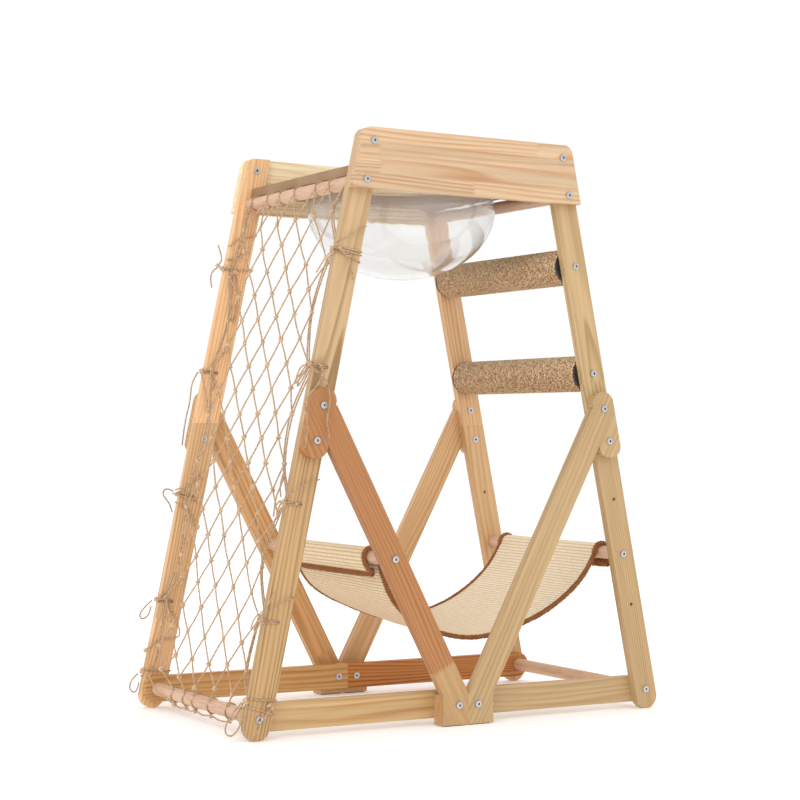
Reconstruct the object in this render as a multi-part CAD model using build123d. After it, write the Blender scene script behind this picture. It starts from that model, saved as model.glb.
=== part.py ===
"""Cat climbing frame: two pine A-frames, a rope net, two wound posts, a hammock and a clear bowl.

Units are millimetres. X runs along the frame, Y from the near side frame (-Y) to the far one (+Y),
Z is up and the floor is at Z = 0. The net is on the -X slope and the wound posts are on the +X slope.
"""
import os
from math import hypot, pi, radians, tan

from build123d import *

os.makedirs("parts", exist_ok=True)

# ---------------------------------------------------------------- driving dimensions
HEIGHT = 1002.0            # top of the side frames
BASE_HALF_SPAN = 394.7     # leg centre line from the middle, at the floor
TOP_HALF_SPAN = 185.4      # leg centre line from the middle, at HEIGHT
LEG_DEPTH = 441.2          # over the outer faces of the two leg layers
BOARD_T = 15.0             # thickness of every board
BOARD_W = 45.0             # width of the legs and braces
RAIL_H = 46.0              # height of the bottom rails
PLATE_H = 102.5            # height of the top plates
CORNER_R = 18.0            # rounded top corners of the plates and legs
SPLICE_Z = 511.0           # the upper legs stand on the lower legs here

PLATE_BOLT_Z = (979.5, 914.4)      # the lower one also holds a top dowel
KNUCKLE_BOLT_Z = (539.9, 482.4)
POST_Z = (791.6, 602.5)
SPARE_HOLE_Z = (378.4, 189.1)
HAMMOCK_RIGHT_Z = 280.0
HAMMOCK_LEFT = (-145.6, 285.1)     # on the left braces
FOOT_BOLT_Z = 34.9
MIDDLE_BOLT_X = 19.0

KNUCKLE_TOP = 569.9
KNUCKLE_BOTTOM = 453.5
KNUCKLE_LOW_R = 19.0
BRACE_LEAN = 0.528                 # X per Z of the brace's centre line
BRACE_REF = (129.3, 250.4)         # a point on that line
FOOT_BLOCK_W = 50.0
FOOT_BLOCK_H = 52.0
PAD_T = 1.5

DOWEL_R = 11.5
POST_R = 32.5
POST_WRAP_T = 5.0
POST_TUBE_T = 4.0
CAP_T = 3.0
CAP_PLUG = 20.0
CAP_R = 30.0
PANEL_HALF_X = 200.0
PANEL_BOTTOM = 928.5
PANEL_T = 17.0
PANEL_HOLE_R = 172.0
PEG_R = 4.0
PEG_IN_LEG = 12.0
PEG_IN_PANEL = 18.0
PEG_X = 188.0

BOWL_R = 170.0                     # widest, just under the panel
BOWL_WIDEST_Z = 898.0
BOWL_BOTTOM_Z = 771.5
BOWL_NECK_R = 166.0
BOWL_NECK_Z = 915.0
BOWL_FLANGE_R = 184.0
BOWL_WALL = 3.0

MAT_T = 4.8
MAT_HALF_Y = 165.0
BINDING_W = 8.0
BINDING_T = 7.2

BOLT_R = 3.0
BOLT_HOLE_R = 3.2
HEAD_R = 6.2
HEAD_H = 3.2
SOCKET_AF = 4.0
NUT_R = 4.4
NUT_HOLE_R = 4.5
INSERT_LEN = 13.0
THREAD_R = 3.05                    # bores that a bolt screws into

NET_TWINE = 2.6
NET_BAR = 3.0
NET_PITCH_Y = 71.0
NET_PITCH_S = 43.0
NET_HALF_Y = 189.0
NET_PHASE_Y = 8.5                  # Y of a diamond's centre in the odd rows
NET_FIRST_ROW = 12.0               # from the top dowel down to the first row
FOOT_TIE_Z = 62.0                  # the lowest tie goes right round the leg, above the rail
KNOT_R = 5.0
KNOT_RISE = 5.0                    # the ties' knots sit a little above their holes

# ---------------------------------------------------------------- worked out from them
LEG_LEAN = (BASE_HALF_SPAN - TOP_HALF_SPAN) / HEIGHT
LEG_SLANT = hypot(1.0, LEG_LEAN)           # length along the leg per unit of height
EDGE_DX = BOARD_W / 2 * LEG_SLANT          # level distance from a leg's centre line to its edge
BRACE_SLANT = hypot(1.0, BRACE_LEAN)
BRACE_EDGE_DX = BOARD_W / 2 * BRACE_SLANT

Y_LEG_OUT = LEG_DEPTH / 2                  # legs, and the foot fillers
Y_LEG_IN = Y_LEG_OUT - BOARD_T
Y_PLATE_OUT = Y_LEG_OUT + BOARD_T          # top plates and braces
Y_RAIL_IN = Y_LEG_IN - BOARD_T             # bottom rails
PANEL_TOP = PANEL_BOTTOM + PANEL_T
PEG_Z = PANEL_BOTTOM + PANEL_T / 2
TIE_HOLE_Z = POST_Z + SPARE_HOLE_Z         # the net leg has the same holes as the post leg
FIT = 0.05                                 # clearance of pieces that sit one in another


def leg_x(z):
    """X of the right leg's centre line at height z."""
    return BASE_HALF_SPAN - LEG_LEAN * z


def brace_x(z):
    """X of the right brace's centre line at height z."""
    return BRACE_REF[0] + BRACE_LEAN * (z - BRACE_REF[1])


def wall(y):
    """Work plane that stands along X at -y, with its own Y up and its normal pointing outwards."""
    return Plane(origin=(0, -y, 0), x_dir=(1, 0, 0), z_dir=(0, -1, 0))


def slab(face, y_in, y_out):
    """Near-side board: an XZ outline made solid from y_in out to y_out."""
    return extrude(wall(y_in) * face, amount=y_out - y_in)


def drill(x, z, y_in, y_out, radius=BOLT_HOLE_R):
    """Near-side hole along Y."""
    return slab(Pos(x, z) * Circle(radius), y_in - 0.01, y_out + 0.01)


def rounded(polygon, points, radius):
    """Outline with the corners nearest to points rounded."""
    corners = [polygon.vertices().sort_by_distance(Vector(*p))[0] for p in points]
    return fillet(corners, radius)


def near_to_far(solid):
    return mirror(solid, about=Plane.XZ)


def right_to_left(solid):
    return mirror(solid, about=Plane.YZ)


# ---------------------------------------------------------------- boards of one side frame
def top_plate():
    low = HEIGHT - PLATE_H
    half_low = leg_x(low) + EDGE_DX
    half_top = leg_x(HEIGHT) + EDGE_DX
    corners = [(-half_low, low), (half_low, low), (half_top, HEIGHT), (-half_top, HEIGHT)]
    outline = rounded(Polygon(*corners, align=None), corners[2:], CORNER_R)
    plate = slab(outline, Y_LEG_OUT, Y_PLATE_OUT)
    for z in PLATE_BOLT_Z:
        for side in (-1, 1):
            plate -= drill(side * leg_x(z), z, Y_LEG_OUT, Y_PLATE_OUT)
    return plate


def leg_outline(z_low, z_high):
    """Leaning strip of the right leg between two level cuts."""
    return Polygon(
        (leg_x(z_low) - EDGE_DX, z_low),
        (leg_x(z_low) + EDGE_DX, z_low),
        (leg_x(z_high) + EDGE_DX, z_high),
        (leg_x(z_high) - EDGE_DX, z_high),
        align=None,
    )


def upper_leg():
    outline = rounded(leg_outline(SPLICE_Z, HEIGHT), [(leg_x(HEIGHT) + EDGE_DX, HEIGHT)], CORNER_R)
    leg = slab(outline, Y_LEG_IN, Y_LEG_OUT)
    leg -= drill(leg_x(PLATE_BOLT_Z[0]), PLATE_BOLT_Z[0], Y_LEG_IN, Y_LEG_OUT, NUT_HOLE_R)
    leg -= drill(leg_x(PLATE_BOLT_Z[1]), PLATE_BOLT_Z[1], Y_LEG_IN, Y_LEG_OUT)
    leg -= drill(leg_x(KNUCKLE_BOLT_Z[0]), KNUCKLE_BOLT_Z[0], Y_LEG_IN, Y_LEG_OUT, NUT_HOLE_R)
    for z in POST_Z:
        leg -= drill(leg_x(z), z, Y_LEG_IN, Y_LEG_OUT)
    peg_hole = Pos(PEG_X, PEG_Z) * Circle(PEG_R + FIT)
    return leg - slab(peg_hole, Y_LEG_IN - 0.01, Y_LEG_IN + PEG_IN_LEG + 0.5)


def lower_leg(hammock_hole):
    foot_z = BOARD_W / 2
    outline = leg_outline(foot_z, SPLICE_Z) + Pos(leg_x(foot_z), foot_z) * Circle(BOARD_W / 2)
    leg = slab(outline, Y_LEG_IN, Y_LEG_OUT)
    leg -= drill(leg_x(KNUCKLE_BOLT_Z[1]), KNUCKLE_BOLT_Z[1], Y_LEG_IN, Y_LEG_OUT, NUT_HOLE_R)
    heights = list(SPARE_HOLE_Z) + [FOOT_BOLT_Z]
    if hammock_hole:
        heights.append(HAMMOCK_RIGHT_Z)
    for z in heights:
        leg -= drill(leg_x(z), z, Y_LEG_IN, Y_LEG_OUT)
    return leg


def block_outline():
    """Square foot block, from its pad up."""
    height = FOOT_BLOCK_H - PAD_T
    return Pos(FOOT_BLOCK_W / 2, PAD_T + height / 2) * Rectangle(FOOT_BLOCK_W, height)


def brace(hammock_hole):
    """Right brace: knuckle on the leg, slanted board, and foot block with an upright inner edge."""
    top_z = KNUCKLE_TOP - BOARD_W / 2
    low_z = KNUCKLE_BOTTOM + KNUCKLE_LOW_R
    low_corners = [(leg_x(KNUCKLE_BOTTOM) - EDGE_DX, KNUCKLE_BOTTOM),
                   (leg_x(KNUCKLE_BOTTOM) + EDGE_DX, KNUCKLE_BOTTOM)]
    knuckle = rounded(leg_outline(KNUCKLE_BOTTOM, top_z), low_corners, KNUCKLE_LOW_R)
    knuckle += Pos(leg_x(top_z), top_z) * Circle(BOARD_W / 2)
    arm_top = KNUCKLE_BOLT_Z[0]
    arm = Polygon(
        (brace_x(0) - BRACE_EDGE_DX, 0),
        (brace_x(0) + BRACE_EDGE_DX, 0),
        (brace_x(arm_top) + BRACE_EDGE_DX, arm_top),
        (brace_x(arm_top) - BRACE_EDGE_DX, arm_top),
        align=None,
    )
    arm &= knuckle_side(arm_top)
    board = slab((knuckle + arm + block_outline()).clean(), Y_LEG_OUT, Y_PLATE_OUT)
    for z in KNUCKLE_BOLT_Z:
        board -= drill(leg_x(z), z, Y_LEG_OUT, Y_PLATE_OUT)
    board -= drill(MIDDLE_BOLT_X, FOOT_BOLT_Z, Y_LEG_OUT, Y_PLATE_OUT)
    if hammock_hole:
        board -= drill(-HAMMOCK_LEFT[0], HAMMOCK_LEFT[1], Y_LEG_OUT, Y_PLATE_OUT)
    return board


def knuckle_side(arm_top):
    """Region that keeps the slanted arm above the block's floor line and inside the leg's outer edge."""
    return Polygon(
        (0, PAD_T),
        (FOOT_BLOCK_W, PAD_T),
        (FOOT_BLOCK_W, FOOT_BLOCK_H),
        (leg_x(SPARE_HOLE_Z[0]), SPARE_HOLE_Z[0]),
        (leg_x(KNUCKLE_BOLT_Z[1]), KNUCKLE_BOLT_Z[1]),
        (leg_x(arm_top), arm_top),
        (0, arm_top),
        align=None,
    )


def foot_filler():
    return slab(block_outline(), Y_LEG_IN, Y_LEG_OUT) - drill(MIDDLE_BOLT_X, FOOT_BOLT_Z, Y_LEG_IN, Y_LEG_OUT)


def bottom_rail():
    end_x = leg_x(FOOT_BOLT_Z)
    outline = Pos(end_x / 2, FOOT_BOLT_Z) * Rectangle(end_x, RAIL_H)
    outline += Pos(end_x, FOOT_BOLT_Z) * Circle(RAIL_H / 2)
    rail = slab(outline, Y_RAIL_IN, Y_LEG_IN)
    rail -= drill(end_x, FOOT_BOLT_Z, Y_RAIL_IN, Y_LEG_IN)
    rail -= drill(MIDDLE_BOLT_X, FOOT_BOLT_Z, Y_RAIL_IN, Y_LEG_IN, NUT_HOLE_R)
    return rail


def foot_pad():
    pad_x, pad_y = 40.0, 24.0
    middle_y = -(Y_LEG_IN + Y_PLATE_OUT) / 2
    return Pos(FOOT_BLOCK_W / 2, middle_y, PAD_T / 2) * Box(pad_x, pad_y, PAD_T)


# ---------------------------------------------------------------- fasteners
def key_socket(x, z, y_low, y_high):
    """Hexagon that an Allen key fits."""
    return slab(Pos(x, z) * RegularPolygon(SOCKET_AF / 2, 6, major_radius=False), y_low, y_high)


def bolt(x, z, y_head, length):
    """Near-side bolt: pan head with a hexagon socket outside y_head, shank towards the middle."""
    head = slab(Pos(x, z) * Circle(HEAD_R), y_head, y_head + HEAD_H)
    head = fillet(head.faces().sort_by(Axis.Y)[0].edges(), HEAD_H * 0.45)
    shank = slab(Pos(x, z) * Circle(BOLT_R), y_head - length, y_head)
    return head + shank - key_socket(x, z, y_head + 0.8, y_head + HEAD_H + 1)


def sleeve_nut(x, z, y_face, length):
    """Near-side sleeve nut: thin flange with a socket on the inner face y_face, sleeve round the bolt's end."""
    flange = slab(Pos(x, z) * Circle(HEAD_R), y_face - 1.4, y_face)
    sleeve = slab(Pos(x, z) * Circle(NUT_R), y_face, y_face + length)
    bore = slab(Pos(x, z) * Circle(THREAD_R), y_face - 0.6, y_face + length + 1)
    return flange + sleeve - bore - key_socket(x, z, y_face - 2, y_face)


def insert(x, z, y_end):
    """Threaded insert in the near end of a dowel."""
    ring = Circle(NUT_R) - Circle(THREAD_R)
    return slab(Pos(x, z) * ring, y_end - INSERT_LEN, y_end)


def side_bolts():
    """All the bolts of the near side frame."""
    plate, board, into_dowel = 2 * BOARD_T, BOARD_T, 22.0
    bolts = []
    for side in (-1, 1):
        bolts.append(bolt(side * leg_x(PLATE_BOLT_Z[0]), PLATE_BOLT_Z[0], Y_PLATE_OUT, plate - 2))
        bolts.append(bolt(side * leg_x(PLATE_BOLT_Z[1]), PLATE_BOLT_Z[1], Y_PLATE_OUT, plate + into_dowel))
        for z in KNUCKLE_BOLT_Z:
            bolts.append(bolt(side * leg_x(z), z, Y_PLATE_OUT, plate - 2))
        bolts.append(bolt(side * leg_x(FOOT_BOLT_Z), FOOT_BOLT_Z, Y_LEG_OUT, plate + into_dowel))
        bolts.append(bolt(side * MIDDLE_BOLT_X, FOOT_BOLT_Z, Y_PLATE_OUT, plate + board - 2))
    for z in POST_Z:
        bolts.append(bolt(leg_x(z), z, Y_LEG_OUT, board + CAP_T + CAP_PLUG - 3))
    bolts.append(bolt(leg_x(HAMMOCK_RIGHT_Z), HAMMOCK_RIGHT_Z, Y_LEG_OUT, board + into_dowel))
    bolts.append(bolt(*HAMMOCK_LEFT, Y_PLATE_OUT, board + into_dowel))
    return bolts


def side_nuts():
    """Sleeve nuts on the inner faces of the near side frame."""
    nuts = []
    for side in (-1, 1):
        for z in (PLATE_BOLT_Z[0],) + KNUCKLE_BOLT_Z:
            nuts.append(sleeve_nut(side * leg_x(z), z, Y_LEG_IN, 10.0))
        nuts.append(sleeve_nut(side * MIDDLE_BOLT_X, FOOT_BOLT_Z, Y_RAIL_IN, 10.0))
    return nuts


# ---------------------------------------------------------------- pieces between the side frames
def along_y(radius, half_length, x, z):
    """Solid cylinder along Y, centred on the middle of the frame."""
    return Pos(x, 0, z) * Rot(90, 0, 0) * Cylinder(radius, 2 * half_length)


def dowel(x, z, half_length):
    rod = along_y(DOWEL_R, half_length, x, z)
    rod = chamfer(rod.edges().filter_by(GeomType.CIRCLE), 1.0)
    bore_depth = 26.0
    bore = Rot(90, 0, 0) * Cylinder(NUT_HOLE_R, bore_depth + 0.02)
    for end in (-1, 1):
        rod -= Pos(x, end * (half_length - bore_depth / 2), z) * bore
    return rod


DOWELS = {
    "net_dowel_top": (-leg_x(PLATE_BOLT_Z[1]), PLATE_BOLT_Z[1], Y_LEG_IN),
    "net_dowel_bottom": (-leg_x(FOOT_BOLT_Z), FOOT_BOLT_Z, Y_RAIL_IN),
    "panel_dowel_right": (leg_x(PLATE_BOLT_Z[1]), PLATE_BOLT_Z[1], Y_LEG_IN),
    "base_dowel_right": (leg_x(FOOT_BOLT_Z), FOOT_BOLT_Z, Y_RAIL_IN),
    "hammock_dowel_left": (*HAMMOCK_LEFT, Y_LEG_OUT),
    "hammock_dowel_right": (leg_x(HAMMOCK_RIGHT_Z), HAMMOCK_RIGHT_Z, Y_LEG_IN),
}


def top_panel():
    gap = 0.4
    middle = Pos(0, 0, PEG_Z)
    panel = middle * Box(2 * PANEL_HALF_X, 2 * (Y_LEG_IN - gap), PANEL_T)
    panel -= middle * Cylinder(PANEL_HOLE_R, PANEL_T + 1)
    panel = chamfer(panel.edges().filter_by(Axis.Y), 0.8)
    for peg in panel_pegs(FIT):
        panel -= peg
    return panel


def panel_pegs(extra=0.0):
    """Wooden pegs that hold the panel's ends on the legs."""
    length = PEG_IN_LEG + PEG_IN_PANEL
    middle_y = Y_LEG_IN + (PEG_IN_LEG - PEG_IN_PANEL) / 2
    pegs = []
    for x in (-PEG_X, PEG_X):
        for end in (-1, 1):
            peg = Rot(90, 0, 0) * Cylinder(PEG_R + extra, length + 4 * extra)
            pegs.append(Pos(x, end * middle_y, PEG_Z) * peg)
    return pegs


def cup(radius, bottom_z, neck_radius, top_z):
    """Solid of revolution: round bottom, widest at BOWL_WIDEST_Z, then a neck that runs up to top_z."""
    curves = [
        EllipticalCenterArc((0, BOWL_WIDEST_Z), radius, BOWL_WIDEST_Z - bottom_z, 270, arc_size=90),
        TangentArc((radius, BOWL_WIDEST_Z), (neck_radius, BOWL_NECK_Z), tangent=(0, 1)),
        Polyline((neck_radius, BOWL_NECK_Z), (neck_radius, top_z), (0, top_z), (0, bottom_z)),
    ]
    return revolve(make_face([Plane.XZ * curve for curve in curves]), Axis.Z)


def bowl():
    """Clear bowl: flange on the panel, short neck in its hole, widest under it, deep round bottom."""
    body = cup(BOWL_R, BOWL_BOTTOM_Z, BOWL_NECK_R, PANEL_TOP + BOWL_WALL / 2)
    flange = Pos(0, 0, PANEL_TOP + BOWL_WALL / 2) * Cylinder(BOWL_FLANGE_R, BOWL_WALL)
    above = PANEL_TOP + BOWL_WALL + 1
    inside = cup(BOWL_R - BOWL_WALL, BOWL_BOTTOM_Z + BOWL_WALL, BOWL_NECK_R - BOWL_WALL, above)
    return body + flange - inside


# ---------------------------------------------------------------- wound scratching posts
def post_tube(z):
    half = Y_LEG_IN - CAP_T
    outer = POST_R - POST_WRAP_T
    return along_y(outer, half, leg_x(z), z) - along_y(outer - POST_TUBE_T, half + 1, leg_x(z), z)


def post_winding(z):
    half = Y_LEG_IN - CAP_T - 0.5
    return along_y(POST_R, half, leg_x(z), z) - along_y(POST_R - POST_WRAP_T + FIT, half + 1, leg_x(z), z)


def post_caps(z):
    """End caps: a thin disc against the leg and a plug in the tube, with a bore for the bolt."""
    plug_r = POST_R - POST_WRAP_T - POST_TUBE_T - FIT
    caps = []
    for end in (-1, 1):
        disc = Pos(leg_x(z), end * (Y_LEG_IN - CAP_T / 2), z) * Rot(90, 0, 0) * Cylinder(CAP_R, CAP_T)
        plug_y = end * (Y_LEG_IN - CAP_T - CAP_PLUG / 2)
        plug = Pos(leg_x(z), plug_y, z) * Rot(90, 0, 0) * Cylinder(plug_r, CAP_PLUG)
        bore_y = end * (Y_LEG_IN - (CAP_T + CAP_PLUG) / 2)
        bore = Pos(leg_x(z), bore_y, z) * Rot(90, 0, 0) * Cylinder(THREAD_R, CAP_T + CAP_PLUG + 1)
        caps.append(disc + plug - bore)
    return caps


# ---------------------------------------------------------------- hammock
MAT_LINE = [
    (-131.6, 285.1), (-126.5, 258), (-103, 205), (-62, 171), (-12, 150), (45, 137),
    (98, 140), (164, 158), (214, 177), (268, 211), (305, 248), (322.0, HAMMOCK_RIGHT_Z),
]


def offset_line(points, distance):
    """Points moved sideways from a line of points, square to the chord through each one's neighbours."""
    moved = []
    last = len(points) - 1
    for i, (x, z) in enumerate(points):
        ax, az = points[max(i - 1, 0)]
        bx, bz = points[min(i + 1, last)]
        chord = hypot(bx - ax, bz - az)
        moved.append((x - distance * (bz - az) / chord, z + distance * (bx - ax) / chord))
    return moved


def mat_section(thickness):
    """XZ section of the mat: the hanging curve with a sleeve round each hammock dowel."""
    over = Spline(*offset_line(MAT_LINE, thickness / 2))
    under = Spline(*offset_line(MAT_LINE, -thickness / 2))
    band = make_face([over, under, Line(over @ 0, under @ 0), Line(over @ 1, under @ 1)])
    middle_r = DOWEL_R + MAT_T / 2 + 0.4
    right = (leg_x(HAMMOCK_RIGHT_Z), HAMMOCK_RIGHT_Z)
    for place in (HAMMOCK_LEFT, right):
        band += Pos(*place) * Circle(middle_r + thickness / 2)
    for place in (HAMMOCK_LEFT, right):
        band -= Pos(*place) * Circle(DOWEL_R + 0.4)
    return band


def hammock_mat():
    half = MAT_HALF_Y - BINDING_W
    return slab(mat_section(MAT_T), -half, half)


def hammock_bindings():
    section = mat_section(BINDING_T)
    near = slab(section, MAT_HALF_Y - BINDING_W, MAT_HALF_Y)
    return [near, near_to_far(near)]


# ---------------------------------------------------------------- rope net and its ties
def net_plane():
    """Plane of the net, outside the two net dowels: its X is the frame's Y, its Y runs down the slope."""
    outward = Vector(-1, 0, LEG_LEAN) / LEG_SLANT
    top = Vector(-leg_x(PLATE_BOLT_Z[1]), 0, PLATE_BOLT_Z[1])
    return Plane(origin=top + outward * (DOWEL_R + NET_TWINE / 2 + 0.6), x_dir=(0, 1, 0), z_dir=outward)


def rope_net():
    """Flat mesh of diamonds, thin as the twine, with a bar all round."""
    length = (PLATE_BOLT_Z[1] - FOOT_BOLT_Z) * LEG_SLANT
    rows = round(length / NET_PITCH_S)
    columns = round(2 * NET_HALF_Y / NET_PITCH_Y) + 2
    half_w = NET_PITCH_Y / 2
    narrowing = 1 - NET_BAR / 2 * hypot(half_w, NET_PITCH_S) / (half_w * NET_PITCH_S)
    frame = Pos(0, length / 2) * Rectangle(2 * NET_HALF_Y, length)
    clear = Pos(0, length / 2) * Rectangle(2 * (NET_HALF_Y - NET_BAR), length - 2 * NET_BAR)
    diamond = Polygon(
        (-half_w * narrowing, 0),
        (0, -NET_PITCH_S * narrowing),
        (half_w * narrowing, 0),
        (0, NET_PITCH_S * narrowing),
        align=None,
    )
    holes = []
    for row in range(rows + 1):
        shift = NET_PHASE_Y + (row + 1) % 2 * half_w
        for column in range(columns):
            y = (column - columns // 2) * NET_PITCH_Y + shift
            hole = (Pos(y, NET_FIRST_ROW + row * NET_PITCH_S) * diamond) & clear
            if hole:
                holes.append(hole)
    mesh = frame - holes
    return extrude(net_plane() * mesh, amount=NET_TWINE / 2, both=True)


def lashing(z, round_leg=False):
    """Near-side twine loop with a knot: round the net leg's edge through its hole, or right round the leg."""
    bar = NET_BAR
    edge = EDGE_DX + 0.4
    inner_x = leg_x(z) - edge if round_leg else leg_x(z) + bar / 2
    outer_x = leg_x(z) + edge
    inner_y, outer_y = Y_LEG_IN - 0.4, Y_LEG_OUT + 0.4
    centre = Pos(-(inner_x + outer_x) / 2, -(inner_y + outer_y) / 2, z)
    clear_x, clear_y = outer_x - inner_x, outer_y - inner_y
    ring = centre * Box(clear_x + 2 * bar, clear_y + 2 * bar, bar)
    ring -= centre * Box(clear_x, clear_y, bar + 1)
    middle_y = (Y_LEG_IN + Y_LEG_OUT) / 2
    knot = Pos(-(outer_x + bar + 1), -middle_y, z + KNOT_RISE) * Rot(0, 0, 180) * Sphere(KNOT_R)
    return ring + knot


# Free ends and bows of the ties: points of each twine's route, chosen by hand.
TIE_ROUTES = {
    "near_tie_1_tail": [
        (-262, -219, 801), (-253, -228, 799), (-241, -231, 789), (-232, -229, 775), (-226, -227, 761),
        (-223, -226, 747),
    ],
    "near_tie_1_end": [
        (-258, -222, 806), (-250, -226, 810), (-238, -227, 815), (-220, -226, 825), (-198, -225, 837),
    ],
    "near_tie_2_tail_left": [
        (-299, -219, 611), (-293, -230, 612), (-286, -237, 603), (-286, -241, 588), (-298, -244, 571),
        (-312, -243, 558), (-321, -243, 543), (-318, -242, 526), (-313, -242, 508), (-316, -242, 490),
        (-319, -242, 471),
    ],
    "near_tie_2_tail_right": [
        (-303, -217, 602), (-300, -227, 599), (-292, -230, 595), (-283, -233, 587), (-277, -241, 575),
        (-275, -244, 559), (-274, -243, 541), (-279, -242, 522), (-278, -242, 503), (-274, -242, 485),
    ],
    "near_tie_3_tail": [
        (-344, -220, 390), (-337, -228, 396), (-324, -229, 404), (-311, -228, 411), (-298, -227, 414),
        (-284, -227, 419),
    ],
    "near_tie_3_bow": [
        (-349, -217, 391), (-352, -219, 401), (-351, -219, 414), (-346, -218, 427), (-341, -214, 433),
        (-339, -209, 425), (-343, -207, 411), (-350, -207, 398), (-355, -208, 384), (-358, -211, 371),
        (-360, -212, 359),
    ],
    "near_tie_4_tail": [
        (-383, -220, 203), (-376, -228, 207), (-364, -229, 213), (-351, -228, 220), (-338, -227, 225),
        (-324, -227, 231),
    ],
    "near_tie_4_bow": [
        (-387, -218, 202), (-385, -226, 209), (-378, -230, 219), (-370, -230, 230), (-364, -228, 241),
    ],
    "near_tie_5_tail": [
        (-366, -229, 62), (-372, -231, 53), (-379, -231, 44), (-386, -231, 34), (-392, -230, 24),
        (-398, -230, 14), (-404, -232, 5),
    ],
    "near_tie_5_bow": [
        (-415, -213, 63), (-425, -215, 54), (-436, -216, 42), (-445, -216, 28), (-444, -215, 15),
        (-433, -214, 10), (-423, -215, 19), (-417, -217, 33), (-414, -220, 48),
    ],
    "far_tie_1_tail": [
        (-263, 214, 798), (-270, 217, 794), (-275, 220, 785), (-276, 221, 773), (-273, 221, 760),
    ],
    "far_tie_2_tail": [
        (-302, 215, 604), (-308, 218, 594), (-313, 220, 579), (-314, 221, 562), (-316, 222, 544),
        (-321, 222, 526), (-325, 222, 507), (-328, 221, 488), (-330, 221, 470),
    ],
    "far_tie_3_bow": [
        (-350, 214, 387), (-358, 216, 392), (-367, 218, 390), (-368, 219, 380), (-360, 219, 371),
        (-353, 219, 361), (-350, 218, 349),
    ],
    "far_tie_4_bow": [
        (-390, 213, 192), (-398, 215, 185), (-406, 217, 176), (-413, 217, 166), (-409, 216, 158),
        (-400, 215, 161), (-394, 214, 170), (-392, 213, 181),
    ],
    "far_tie_5_bow": [
        (-416, 213, 62), (-424, 215, 55), (-430, 216, 45), (-431, 216, 34), (-423, 215, 27),
        (-416, 214, 34), (-414, 214, 46),
    ],
}
BEND_SHARE = 0.45          # of the shorter run beside a bend that its arc takes up


def cord_path(points):
    """Straight runs joined by tangent arcs, each arc as large as its two runs allow."""
    places = [Vector(*point) for point in points]
    radii = []
    for before, here, after in zip(places, places[1:], places[2:]):
        turn = (here - before).get_angle(after - here)
        shorter = min((here - before).length, (after - here).length)
        radii.append(BEND_SHARE * shorter / tan(radians(turn / 2)))
    return FilletPolyline(*places, radius=radii), min(radii)


def tie_twine(name):
    """Plain tube along a tie's free twine."""
    path, tightest = cord_path(TIE_ROUTES[name])
    start = Plane(origin=path @ 0, z_dir=path % 0)
    tube = sweep(start * Circle(NET_TWINE / 2), path=path)
    wanted = pi * (NET_TWINE / 2) ** 2 * path.length
    print(f"{name}: {path.length:.0f} mm long, tightest arc {tightest:.1f} mm, "
          f"volume {tube.volume / wanted:.3f}")
    return tube


# ---------------------------------------------------------------- writing the parts
def write(name, solids):
    """Write one node, which may be a group of separate solids."""
    if not isinstance(solids, list):
        solids = [solids]
    pieces = [piece for solid in solids for piece in solid.solids()]
    node = pieces[0] if len(pieces) == 1 else Compound(children=pieces)
    export_step(node, f"parts/{name}.step")


def write_both_sides(name, near):
    """Write a near-side piece and its mirror image at the far side."""
    write(f"near_{name}", near)
    group = near if isinstance(near, list) else [near]
    write(f"far_{name}", [near_to_far(solid) for solid in group])


def main():
    write_both_sides("top_plate", top_plate())
    write_both_sides("right_upper_leg", upper_leg())
    write_both_sides("left_upper_leg", right_to_left(upper_leg()))
    write_both_sides("right_lower_leg", lower_leg(hammock_hole=True))
    write_both_sides("left_lower_leg", right_to_left(lower_leg(hammock_hole=False)))
    write_both_sides("right_brace", brace(hammock_hole=False))
    write_both_sides("left_brace", right_to_left(brace(hammock_hole=True)))
    write_both_sides("right_rail", bottom_rail())
    write_both_sides("left_rail", right_to_left(bottom_rail()))
    write_both_sides("bolts", side_bolts())
    near_fillers = [foot_filler(), right_to_left(foot_filler())]
    near_pads = [foot_pad(), right_to_left(foot_pad())]
    write("foot_fillers", near_fillers + [near_to_far(piece) for piece in near_fillers])
    write("foot_pads", near_pads + [near_to_far(piece) for piece in near_pads])
    near_nuts = side_nuts()
    write("sleeve_nuts", near_nuts + [near_to_far(nut) for nut in near_nuts])
    inserts = []
    for name, (x, z, half_length) in DOWELS.items():
        write(name, dowel(x, z, half_length))
        near_insert = insert(x, z, half_length)
        inserts += [near_insert, near_to_far(near_insert)]
    write("dowel_inserts", inserts)
    write("top_panel", top_panel())
    write("panel_pegs", panel_pegs())
    write("bowl", bowl())
    for place, z in zip(("upper", "lower"), POST_Z):
        write(f"{place}_post_tube", post_tube(z))
        write(f"{place}_post_winding", post_winding(z))
        write(f"{place}_post_caps", post_caps(z))
    write("hammock_mat", hammock_mat())
    write("hammock_bindings", hammock_bindings())
    write("rope_net", rope_net())
    near_lashings = [lashing(z) for z in TIE_HOLE_Z] + [lashing(FOOT_TIE_Z, round_leg=True)]
    write_both_sides("net_lashings", near_lashings)
    for name in TIE_ROUTES:
        write(name, tie_twine(name))


main()
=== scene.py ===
"""Looks of the cat climbing frame: pine side frames, rope net, wound posts, straw hammock and clear bowl.

Lengths are metres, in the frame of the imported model: X along the frame, Y from the near side frame to
the far one, Z up, floor at Z = 0. Sizes written with MM are millimetres.
"""
import logging
from dataclasses import dataclass, field
from enum import Enum
from functools import partial
from math import atan2, cos, dist, hypot, pi, radians, sin
from random import Random
from typing import Any, Callable, Iterable, Sequence

import bpy
from mathutils import Matrix, Vector


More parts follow.
